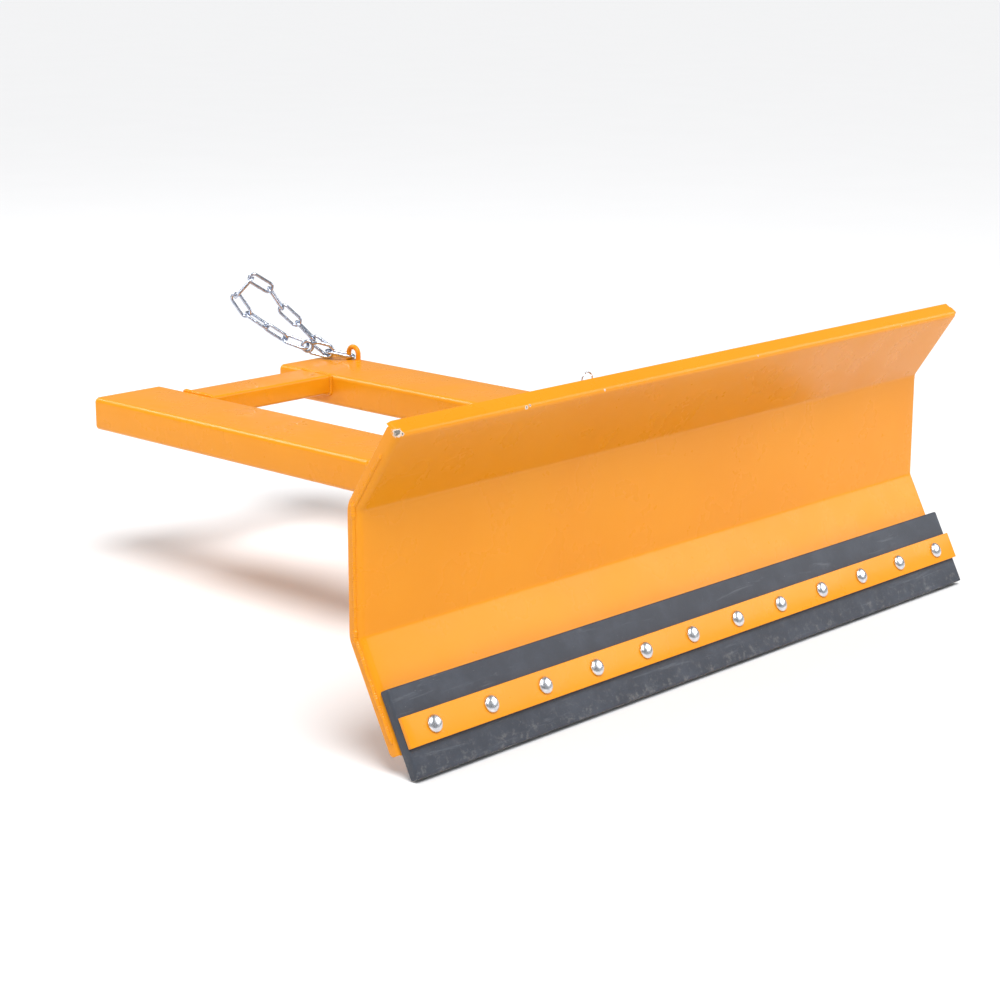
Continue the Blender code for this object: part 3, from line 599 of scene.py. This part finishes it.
def build_bar(width, thick, seat, edge, columns, wave, nibble=0.0):
    """A long flat strip on the low facet with rounded edges, a wavy face and a lower edge worn by nibble."""
    def build(work):
        section = rounded_box(width, thick, edge, 4)
        rows = []
        end = []
        for degrees in EDGE_DEGREES:
            angle = math.radians(degrees)
            end.append((-HALF_LENGTH + edge - edge * math.sin(angle), edge * (1 - math.cos(angle))))
        inner = HALF_LENGTH - edge
        middle = [(-inner + 2 * inner * step / columns, 0.0) for step in range(columns + 1)]
        for x, inset in end + middle + [(-x, inset) for x, inset in reversed(end)]:
            row = []
            for along, out in section:
                shrink_along = (width / 2 - inset) / (width / 2)
                shrink_out = (thick / 2 - inset) / (thick / 2)
                swell = wave * noise.noise(Vector((x * 6.0, along * 9.0, 3.1)))
                worn = 0.0
                if nibble and along < -width / 2 + 0.004:
                    worn = nibble * abs(noise.noise(Vector((x * 34.0, 7.7, 0.3))))
                down = STRIP_CENTRE - along * shrink_along - worn
                point = low_facet(down, seat + thick / 2 + out * shrink_out, x)
                row.append(point + OUT_LOW * (swell if out > 0 else 0.0))
            rows.append(row)
        add_grid(work, rows)
    return build


def build_bolt(work):
    """A domed carriage bolt along local Z, z = 0 at the sheet's front."""
    profile = []
    for step in range(13):
        angle = math.pi / 2 * step / 13
        rise = HEAD_SKIRT + (HEAD_HEIGHT - HEAD_SKIRT) * math.cos(angle) ** 0.9
        profile.append((max(HEAD_RADIUS * math.sin(angle), 0.0004), HEAD_SEAT + rise))
    profile += [(HEAD_RADIUS, HEAD_SEAT + 0.0016), (HEAD_RADIUS, HEAD_SEAT + 0.0005)]
    profile += [(HEAD_RADIUS - 0.0006, HEAD_SEAT), (SHANK_RADIUS, HEAD_SEAT), (SHANK_RADIUS, -SHEET)]
    tail = -SHEET - NUT_STAND - NUT_HEIGHT - 0.003
    thread = -SHEET - NUT_HEIGHT * 0.6
    crest = SHANK_RADIUS - 0.0002
    for turn in range(int((thread - tail) / THREAD_PITCH)):
        height = thread - turn * THREAD_PITCH
        profile += [(crest, height), (SHANK_RADIUS - THREAD_DEPTH, height - THREAD_PITCH / 2)]
    profile += [(crest, tail + 0.0012), (SHANK_RADIUS - 0.0014, tail), (0.0005, tail)]
    add_grid(work, lathe_rows(profile, 40))


def hex_radius(angle, corner):
    """The distance from a hexagon's middle to its side at an angle."""
    turn = (angle + math.pi / 6) % (math.pi / 3) - math.pi / 6
    return corner * math.cos(math.pi / 6) / math.cos(turn)


def build_nut(work):
    """A hexagon nut about local Z with chamfered ends, behind the sheet."""
    segments = 72
    high = -SHEET - NUT_STAND
    low = high - NUT_HEIGHT
    face_radius = NUT_RADIUS * math.cos(math.pi / 6) * 0.97
    slope = math.tan(math.radians(28))

    def ring(kind, height):
        row = []
        for step in range(segments):
            angle = 2 * math.pi * step / segments
            radius, drop = face_radius, 0.0
            if kind == "bore":
                radius = SHANK_RADIUS
            elif kind == "side":
                radius = hex_radius(angle, NUT_RADIUS)
                drop = (radius - face_radius) * slope
            z = height - drop if height == high else height + drop
            row.append(Vector((radius * math.cos(angle), radius * math.sin(angle), z)))
        return row

    rows = [ring("bore", high), ring("face", high), ring("side", high)]
    rows += [ring("side", low), ring("face", low), ring("bore", low)]
    add_grid(work, rows, closed_rows=True)


# Tubes
def tube_rows(outer, inner, start, end, place):
    """Loops of a hollow tube whose cut ends have a slight chamfer."""
    edge = 0.0008

    def resized(size, change):
        width, height, radius = size
        return rounded_box(width + 2 * change, height + 2 * change, radius + change)

    steps = ((outer, -edge, start), (outer, 0.0, start + edge), (outer, 0.0, end - edge), (outer, -edge, end),
             (inner, edge, end), (inner, 0.0, end - edge), (inner, 0.0, start + edge), (inner, edge, start))
    return [[place(a, b, along) for a, b in resized(size, change)] for size, change, along in steps]


def tube_piece(name, node, along, wall, corner, material):
    """A rolled rectangular tube in the box of its CAD node, along X or Y."""
    low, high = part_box(node)
    middle = (low + high) / 2
    size = high - low

    def place(a, b, c):
        if along == "Y":
            return Vector((middle.x + a, c, middle.z + b))
        return Vector((c, middle.y + a, middle.z + b))

    width, span = (size.x, (low.y, high.y)) if along == "Y" else (size.y, (low.x, high.x))
    outer = (width, size.z, corner)
    inner = (width - 2 * wall, size.z - 2 * wall, max(corner - wall, 0.002))
    rows = tube_rows(outer, inner, *span, place)
    mesh = mesh_from(lambda work: add_grid(work, rows, closed_rows=True), name)
    add_piece(name, mesh, "frame", material, [node])


def softened(name, node, body, material, width):
    """A CAD node's own shape with its edges eased."""
    work = bmesh.new()
    work.from_mesh(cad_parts[node].data)
    bmesh.ops.remove_doubles(work, verts=work.verts, dist=0.00001)
    bmesh.ops.dissolve_limit(work, angle_limit=math.radians(0.5), verts=work.verts, edges=work.edges)
    mesh = bpy.data.meshes.new(name)
    work.to_mesh(mesh)
    work.free()
    mesh.shade_smooth()
    piece = add_piece(name, mesh, body, material, [node])
    ease = piece.modifiers.new("eased", "BEVEL")
    ease.width = width
    ease.segments = 3
    ease.limit_method = "ANGLE"
    ease.angle_limit = math.radians(35.0)
    mesh.set_sharp_from_angle(angle=math.radians(60))


# Chain
def principal_axes(node):
    """Middle and long, wide and flat axes of a link, from its vertices."""
    points = np.array([vertex.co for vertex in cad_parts[node].data.vertices], float)
    points = np.unique(points.round(6), axis=0)
    middle = points.mean(0)
    _, vectors = np.linalg.eigh(np.cov((points - middle).T))
    long_axis, wide_axis = Vector(vectors[:, 2]), Vector(vectors[:, 1])
    return Vector(middle), long_axis, wide_axis, long_axis.cross(wide_axis)


def stadium(inner, wire, matrix, steps=10, straights=6):
    """A link's centre line and the radius along it, with the butt weld's swelling on one side."""
    radius = inner[1] / 2 + wire
    straight = (inner[0] - inner[1]) / 2
    flat = arc((straight, 0), radius, -math.pi / 2, math.pi / 2, steps)
    flat += [(straight - 2 * straight * step / straights, radius) for step in range(1, straights)]
    flat += arc((-straight, 0), radius, math.pi / 2, 1.5 * math.pi, steps)
    weld = [(-straight + 2 * straight * step / 16, -radius) for step in range(1, 16)]
    points = [matrix @ Vector((x, y, 0)) for x, y in flat + weld]
    radii = [wire] * len(flat)
    for x, _ in weld:
        radii.append(wire * (1 + LINK_WELD_SWELL * math.exp(-(x / LINK_WELD_REACH) ** 2)))
    return points, radii


def link_piece(node, inner, wire, material):
    middle, long_axis, wide_axis, flat_axis = principal_axes(node)
    matrix = axes(long_axis, wide_axis, flat_axis, middle)
    points, radii = stadium(inner, wire, matrix)
    mesh = mesh_from(lambda work: add_wire(work, points, radii, closed=True), node + "_round")
    add_piece(node + "_round", mesh, "chain", material, [node])


def hook_matrix():
    """The hook's local X runs from its nose to its ring and local Y up."""
    drawn = Vector((math.cos(CHAIN_HEADING), math.sin(CHAIN_HEADING), 0))
    side = Vector((-math.sin(CHAIN_HEADING), math.cos(CHAIN_HEADING), 0))
    heading = drawn * math.cos(HOOK_RISE) + Z * math.sin(HOOK_RISE)
    up = heading.cross(side)
    if up.z < 0:
        up = -up
    return axes(heading, up, heading.cross(up), Vector((0, 0, 0)))


def build_hook(work):
    nose = arc((HOOK_BEND, 0), HOOK_BEND, math.pi * 1.5, math.pi / 2, 22)
    spine = [(HOOK_BEND + 0.004, -HOOK_BEND)] + nose
    spine += [(HOOK_BEND + (HOOK_SPINE - HOOK_BEND) * step / 6, HOOK_BEND) for step in range(1, 7)]
    spine += [(0.0405, 0.0118), (0.0445, 0.0097), (HOOK_RING_X - 0.008, 0.0075)]
    radii = [HOOK_WIRE + HOOK_SWELL * max(0.0, 1 - abs(x - 0.004) / 0.02) for x, _ in spine]
    add_wire(work, [Vector((x, y, 0)) for x, y in spine], radii)
    ring = arc((HOOK_RING_X, 0), HOOK_RING, 0, 2 * math.pi * 35 / 36, 35)
    add_wire(work, [Vector((x, y, 0)) for x, y in ring], HOOK_RING_WIRE, closed=True)
    knuckle = [HOOK_HINGE - X * 0.0004, HOOK_HINGE + X * 0.003, Vector((HOOK_RING_X - 0.005, -0.0098, 0))]
    add_wire(work, knuckle, KNUCKLE_WIRE)
    add_wire(work, [HOOK_HINGE + Z * reach for reach in (-RIVET_REACH, RIVET_REACH)], RIVET_RADIUS)


def build_gate(work):
    """The hook's gate: a round bar that narrows towards its catch."""
    way = (HOOK_LATCH - HOOK_HINGE).normalized()
    length = (HOOK_LATCH - HOOK_HINGE).length
    points = [HOOK_HINGE + way * (0.0015 + (length - 0.0015) * step / 10) for step in range(11)]
    hinge_radius, catch_radius = GATE_WIRE
    radii = [hinge_radius + (catch_radius - hinge_radius) * step / 10 for step in range(11)]
    add_wire(work, points, radii)


def hook_place(local_mesh, node, turn):
    """Where the turned local mesh has to go for its box to meet its CAD node's box."""
    low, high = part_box(node)
    points = [turn @ vertex.co for vertex in local_mesh.vertices]
    middle = Vector([(min(p[axis] for p in points) + max(p[axis] for p in points)) / 2 for axis in range(3)])
    return Matrix.Translation((low + high) / 2 - middle) @ turn


# Welds
def resampled(points, step):
    out = [points[0]]
    for low, high in zip(points, points[1:]):
        pieces = max(1, round((high - low).length / step))
        out += [low.lerp(high, index / pieces) for index in range(1, pieces + 1)]
    return out


def add_weld(work, points, radius, seed):
    """A run of weld: overlapping ripples with an uneven width, tapered where it starts and stops."""
    step = 0.0013
    ripple = 0.0042
    run = resampled(points, step)
    total = len(run)
    radii = []
    wandered = []
    for index, point in enumerate(run):
        phase = (index * step / ripple + 0.4 * noise.noise(Vector((index * 0.05, seed, 1.0)))) % 1.0
        scallop = 0.84 + 0.20 * math.sin(math.pi * phase)
        uneven = 1.0 + 0.22 * noise.noise(Vector((index * 0.045, seed, 5.0)))
        taper = min(1.0, 0.55 + 0.45 * min(index, total - 1 - index) / 4)
        radii.append(radius * scallop * uneven * taper)
        drift = Vector([noise.noise(Vector((index * 0.06, seed + axis * 9.0, 2.0))) for axis in range(3)])
        wandered.append(point + drift * radius * 0.22)
    add_wire(work, wandered, radii, sides=10)


def build_blade_welds(work):
    line = blade_line()
    seed = 0.0
    rib_low, rib_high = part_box("rib_right")
    for side in (LEFT, RIGHT):
        outside = []
        inside = []
        for distance, point, _, normal in line:
            if 0.012 < distance < TOP_FACE_END:
                outside.append(point + normal * 0.0115 + X * side * (HALF_LENGTH - 0.0002))
                inside.append(point + normal * (SHEET + 0.0012) + X * side * (HALF_LENGTH - SHEET - 0.0012))
        seed += 1.7
        add_weld(work, outside, END_WELD, seed)
        add_weld(work, inside, END_INSIDE_WELD, seed + 0.5)
        for index, corner in enumerate((LOW_CREASE, TOP_CREASE)):
            spot = corner + Y * 0.0115 + X * side * HALF_LENGTH
            run = [spot - Z * 0.014, spot, spot + Z * 0.014]
            add_weld(work, run, CREASE_WELD, seed + 3.0 + index)
    # Both faces of each rib, where it meets the sheet
    for side in (LEFT, RIGHT):
        for x in (rib_low.x, rib_high.x):
            seed += 1.1
            run = []
            outward = 0.0010 if x == rib_high.x else -0.0010
            for distance, point, _, normal in line:
                if LOW_HEIGHT - 0.100 < distance < LOW_HEIGHT + MIDDLE_HEIGHT + 0.100:
                    run.append(point + normal * (SHEET + 0.0010) + X * side * (x + outward))
            add_weld(work, run, RIB_WELD, seed)
    # Lug and quadrant plate between the ribs
    for node in ("upper_lug", "quadrant_plate"):
        low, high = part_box(node)
        front = FACE_Y + SHEET + 0.010
        rear = rib_high.y - 0.006
        for side in (LEFT, RIGHT):
            for z in (low.z - 0.0004, high.z + 0.0004):
                seed += 0.9
                x = side * (rib_low.x - 0.0006)
                add_weld(work, [Vector((x, front, z)), Vector((x, rear, z))], LUG_WELD, seed)


def rectangle_run(low_a, high_a, low_b, high_b, corner, place):
    """A closed run round a rounded rectangle, as points from place(a, b)."""
    width, height = high_a - low_a, high_b - low_b
    middle = ((low_a + high_a) / 2, (low_b + high_b) / 2)
    outline = rounded_box(width, height, corner, 4)
    outline.append(outline[0])
    return [place(middle[0] + a, middle[1] + b) for a, b in outline]


def build_frame_welds(work):
    seed = 50.0
    # Rear crossbar to the pockets' inner sides: all round its ends
    low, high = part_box("rear_crossbar")
    for side in (LEFT, RIGHT):
        seed += 1.3
        x = side * (high.x + 0.0004)
        run = rectangle_run(low.y, high.y, low.z, high.z - 0.0010, CROSSBAR_CORNER,
                            lambda a, b: Vector((x - side * 0.0014, a, b)))
        add_weld(work, run, CROSSBAR_WELD, seed)
    # Pockets to the front beam
    beam_low, beam_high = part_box("front_beam")
    for node in ("fork_pocket_left", "fork_pocket_right"):
        low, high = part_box(node)
        seed += 1.3
        run = rectangle_run(low.x, high.x, low.z, high.z, POCKET_CORNER,
                            lambda a, b: Vector((a, beam_high.y + 0.0010, b)))
        add_weld(work, run, POCKET_WELD, seed)
    # Arm to the beam, and the arm and its gusset to the pivot tube
    arm_low, arm_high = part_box("pivot_arm")
    run = rectangle_run(arm_low.x, arm_high.x, arm_low.z, arm_high.z, BEAM_CORNER,
                        lambda a, b: Vector((a, beam_low.y - 0.0008, b)))
    add_weld(work, run, ARM_WELD, seed + 2.0)
    tube_low, tube_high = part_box("pivot_tube")
    centre = (tube_low + tube_high) / 2
    radius = (tube_high.x - tube_low.x) / 2
    seed += 2.6
    around = arc((centre.x, centre.y), radius + 0.0008, math.radians(12), math.radians(168), 24)
    add_weld(work, [Vector((x, y, arm_high.z + 0.0006)) for x, y in around], BUSH_WELD, seed)
    for side in (LEFT, RIGHT):
        seed += 1.3
        angle = math.radians(90 + side * 74)
        x = centre.x + (radius + 0.001) * math.cos(angle)
        y = centre.y + (radius + 0.001) * math.sin(angle)
        run = [Vector((x, y, arm_low.z + 0.002)), Vector((x, y, arm_high.z - 0.002))]
        add_weld(work, run, SEAM_WELD, seed)
    gusset_low, gusset_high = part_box("arm_gusset")
    for side in (LEFT, RIGHT):
        seed += 1.3
        x = side * (gusset_high.x + 0.0008)
        foot = gusset_low.z + 0.0008
        run = [Vector((x, gusset_high.y - 0.002, foot)), Vector((x, gusset_low.y + 0.001, foot))]
        run.append(Vector((x, gusset_low.y + 0.0006, gusset_high.z - 0.002)))
        add_weld(work, run, GUSSET_WELD, seed)
    # The chain eye's two feet
    eye_low, eye_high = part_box("chain_eye")
    for y in (eye_low.y + EYE_BAR, eye_high.y - EYE_BAR):
        seed += 1.3
        around = arc(((eye_low.x + eye_high.x) / 2, y), EYE_BAR, 0, 2 * math.pi, 20)
        add_weld(work, [Vector((a, b, eye_low.z)) for a, b in around], EYE_WELD, seed)


# Put everything together
GROUND_Z = cad_low.z
fold = TOP_CREASE + UP_TOP * (TOP_HEIGHT - 0.0015) + BACK_TOP * 0.0015
CHIPS = [
    (fold + X * (-HALF_LENGTH + 0.004) + BACK_TOP * 0.006, 0.0075),
    (fold + X * (-HALF_LENGTH + 0.012) + BACK_TOP * 0.001, 0.0035),
    (fold + X * -0.470, 0.0036),
    (fold + X * -0.462 + BACK_TOP * 0.003, 0.0022),
    (fold + X * -0.285, 0.0026),
    (fold + X * 0.120 + BACK_TOP * 0.002, 0.0016),
    (fold + X * 0.560, 0.0018),
    (fold + X * (HALF_LENGTH - 0.004), 0.0032),
]
paint = paint_material("orange_enamel")
chipped_paint = paint_material("orange_enamel_chipped", CHIPS)
rubber = rubber_material()
zinc = zinc_material("zinc_plate", (0.80, 0.82, 0.86, 1), (0.60, 0.63, 0.68, 1), 0.18, 0.34, 0.25)
chain_zinc = zinc_material("chain_zinc", (0.60, 0.65, 0.75, 1), (0.38, 0.43, 0.54, 1), 0.16, 0.32, 0.18)

add_piece("moldboard_folded", mesh_from(build_sheet, "moldboard_folded"),
          "blade", chipped_paint, ["moldboard"])
for side, word in ((LEFT, "left"), (RIGHT, "right")):
    name = f"end_plate_{word}_rounded"
    add_piece(name, mesh_from(build_end_plate(side), name), "blade", chipped_paint,
              [f"end_plate_{word}"])
strip = build_bar(RUBBER_WIDTH, RUBBER_THICK, RUBBER_SEAT, 0.0030, 220, wave=0.0005, nibble=0.0010)
add_piece("rubber_wiper", mesh_from(strip, "rubber_wiper"), "blade", rubber, ["rubber_strip"])
bar = build_bar(BAR_WIDTH, BAR_THICK, BAR_SEAT, 0.0010, 90, wave=0.0002)
add_piece("clamp_bar_eased", mesh_from(bar, "clamp_bar_eased"), "blade", paint, ["clamp_bar"])

bolt_mesh = mesh_from(build_bolt, "dome_bolt")
nut_mesh = mesh_from(build_nut, "hexagon_nut")
for number in range(1, 13):
    low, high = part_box(f"bolt_{number:02d}")
    turn = axes(X, -DOWN_LOW, OUT_LOW, low_facet(STRIP_CENTRE, 0.0, (low.x + high.x) / 2))
    home = turn @ Matrix.Rotation(BOLT_TURN * number, 4, "Z")
    add_piece(f"dome_bolt_{number:02d}", bolt_mesh.copy(), "blade", zinc,
              [f"bolt_{number:02d}"], home)
    add_piece(f"hexagon_nut_{number:02d}", nut_mesh.copy(), "blade", zinc,
              [f"nut_{number:02d}"], home)

tube_piece("pocket_left_tube", "fork_pocket_left", "Y", POCKET_WALL, POCKET_CORNER, paint)
tube_piece("pocket_right_tube", "fork_pocket_right", "Y", POCKET_WALL, POCKET_CORNER, paint)
tube_piece("front_beam_tube", "front_beam", "X", POCKET_WALL, BEAM_CORNER, paint)
tube_piece("crossbar_tube", "rear_crossbar", "X", CROSSBAR_WALL, CROSSBAR_CORNER, paint)

for node, body, width in (("rib_left", "blade", 0.0008), ("rib_right", "blade", 0.0008),
                          ("upper_lug", "blade", 0.0010), ("quadrant_plate", "blade", 0.0010),
                          ("pivot_arm", "frame", 0.0005), ("arm_gusset", "frame", 0.0008),
                          ("pivot_tube", "frame", 0.0006)):
    softened(node + "_eased", node, body, paint, width)
for node, body, width in (("pivot_pin", "blade", 0.0005), ("pin_washer", "blade", 0.0005),
                          ("pin_clip", "blade", 0.0002), ("swivel_bolt", "frame", 0.0004),
                          ("swivel_nut", "frame", 0.0005)):
    softened(node + "_eased", node, body, zinc, width)

eye_low, eye_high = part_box("chain_eye")
eye_middle = (eye_low + eye_high) / 2
eye_bend = (eye_high.y - eye_low.y) / 2 - EYE_BAR
eye_rise = eye_high.z - EYE_BAR - eye_bend
eye_points = [Vector((eye_middle.x, eye_middle.y + eye_bend, eye_low.z))]
eye_arc = arc((eye_middle.y, eye_rise), eye_bend, 0, math.pi, 24)
eye_points += [Vector((eye_middle.x, y, z)) for y, z in eye_arc]
eye_points.append(Vector((eye_middle.x, eye_middle.y - eye_bend, eye_low.z)))
add_piece("chain_eye_bar", mesh_from(lambda work: add_wire(work, eye_points, EYE_BAR), "chain_eye_bar"),
          "frame", paint, ["chain_eye"])

link_piece("first_link", FIRST_INNER, FIRST_WIRE, chain_zinc)
for number in range(1, 11):
    link_piece(f"link_{number:02d}", LINK_INNER, LINK_WIRE, chain_zinc)

turn = hook_matrix()
hook_mesh = mesh_from(build_hook, "snap_hook_forged")
hook_home = hook_place(hook_mesh, "snap_hook", turn)
add_piece("snap_hook_forged", hook_mesh, "chain", chain_zinc, ["snap_hook"], hook_home)
add_piece("hook_gate_bar", mesh_from(build_gate, "hook_gate_bar"), "gate", chain_zinc,
          ["hook_gate"], hook_home)

ring_low, ring_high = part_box("pin_ring")
ring_middle = (ring_low + ring_high) / 2
ring_radius = (ring_high.z - ring_low.z) / 2 - RING_WIRE
ring_line = [Vector((ring_middle.x + x, ring_middle.y, ring_middle.z + z))
             for x, z in arc((0, 0), ring_radius, 0, 2 * math.pi * 47 / 48, 47)]
ring_mesh = mesh_from(lambda work: add_wire(work, ring_line, RING_WIRE, closed=True, sides=12), "pull_ring")
add_piece("pull_ring", ring_mesh, "pin_ring", zinc, ["pin_ring"])

add_piece("blade_welds", mesh_from(build_blade_welds, "blade_welds"), "blade", paint)
add_piece("frame_welds", mesh_from(build_frame_welds, "frame_welds"), "frame", paint)


# Stage, light and camera
def area_light(name, location, target, size, power):
    data = bpy.data.lights.new(name, "AREA")
    data.shape = "RECTANGLE"
    data.size, data.size_y = size
    data.energy = power
    lamp = bpy.data.objects.new(name, data)
    bpy.context.scene.collection.objects.link(lamp)
    lamp.location = location
    lamp.rotation_euler = (Vector(target) - Vector(location)).to_track_quat("-Z", "Y").to_euler()


def sun_light(name, direction, strength, softness):
    data = bpy.data.lights.new(name, "SUN")
    data.energy = strength
    data.angle = math.radians(softness)
    lamp = bpy.data.objects.new(name, data)
    bpy.context.scene.collection.objects.link(lamp)
    lamp.rotation_euler = Vector(direction).to_track_quat("Z", "Y").to_euler()


FLOOR_REACH = 90.0
FLOOR_DROP = 0.0005           # below the blade's lowest edge
FLOOR_PALE = (0.80, 0.80, 0.805, 1)
FLOOR_DULL = (0.78, 0.78, 0.785, 1)
WORLD_COLOUR = (0.98, 0.99, 1.0, 1)
WORLD_STRENGTH = 0.32
CAMERA_PLACE = (-3.0069, -3.6843, 0.9548)
CAMERA_AZIMUTH = math.radians(-46.3)
CAMERA_ELEVATION = math.radians(14.2)
CAMERA_LENS = 81.85


def make_stage():
    reach = FLOOR_REACH
    mesh = bpy.data.meshes.new("floor")
    corners = [(-reach, -reach, 0), (reach, -reach, 0), (reach, reach, 0), (-reach, reach, 0)]
    mesh.from_pydata(corners, [], [(0, 1, 2, 3)])
    floor = bpy.data.objects.new("floor", mesh)
    bpy.context.scene.collection.objects.link(floor)
    floor.location.z = GROUND_Z - FLOOR_DROP
    n = Nodes("pale_floor")
    n.put(n.shader.inputs["Base Color"], n.mix(n.noise(2.0, 4.0), FLOOR_DULL, FLOOR_PALE))
    n.put(n.shader.inputs["Roughness"], 0.75)
    mesh.materials.append(n.material)
    world = bpy.data.worlds.new("studio")
    world.use_nodes = True
    background = world.node_tree.nodes["Background"]
    background.inputs["Color"].default_value = WORLD_COLOUR
    background.inputs["Strength"].default_value = WORLD_STRENGTH
    bpy.context.scene.world = world


def make_camera():
    data = bpy.data.cameras.new("camera")
    data.sensor_width = 36.0
    data.lens = CAMERA_LENS
    data.clip_end = 200.0
    camera = bpy.data.objects.new("camera", data)
    bpy.context.scene.collection.objects.link(camera)
    level = Vector((math.sin(CAMERA_AZIMUTH), -math.cos(CAMERA_AZIMUTH), 0))
    back = level * math.cos(CAMERA_ELEVATION) + Z * math.sin(CAMERA_ELEVATION)
    camera.location = CAMERA_PLACE
    camera.rotation_euler = back.to_track_quat("Z", "Y").to_euler()
    bpy.context.scene.camera = camera


make_stage()
middle = (cad_low + cad_high) / 2
sun_light("key", (-0.20, -0.44, 0.88), 3.2, 35.0)
area_light("front_right", middle + Vector((3.4, -3.0, 2.0)), middle, (3.2, 2.2), 62)
area_light("left_fill", middle + Vector((-4.6, 0.2, 1.6)), middle, (2.6, 1.8), 40)
area_light("rear_rim", middle + Vector((-1.4, 3.9, 3.7)), middle, (3.0, 1.4), 110)
make_camera()
bpy.context.scene.view_settings.view_transform = "Standard"
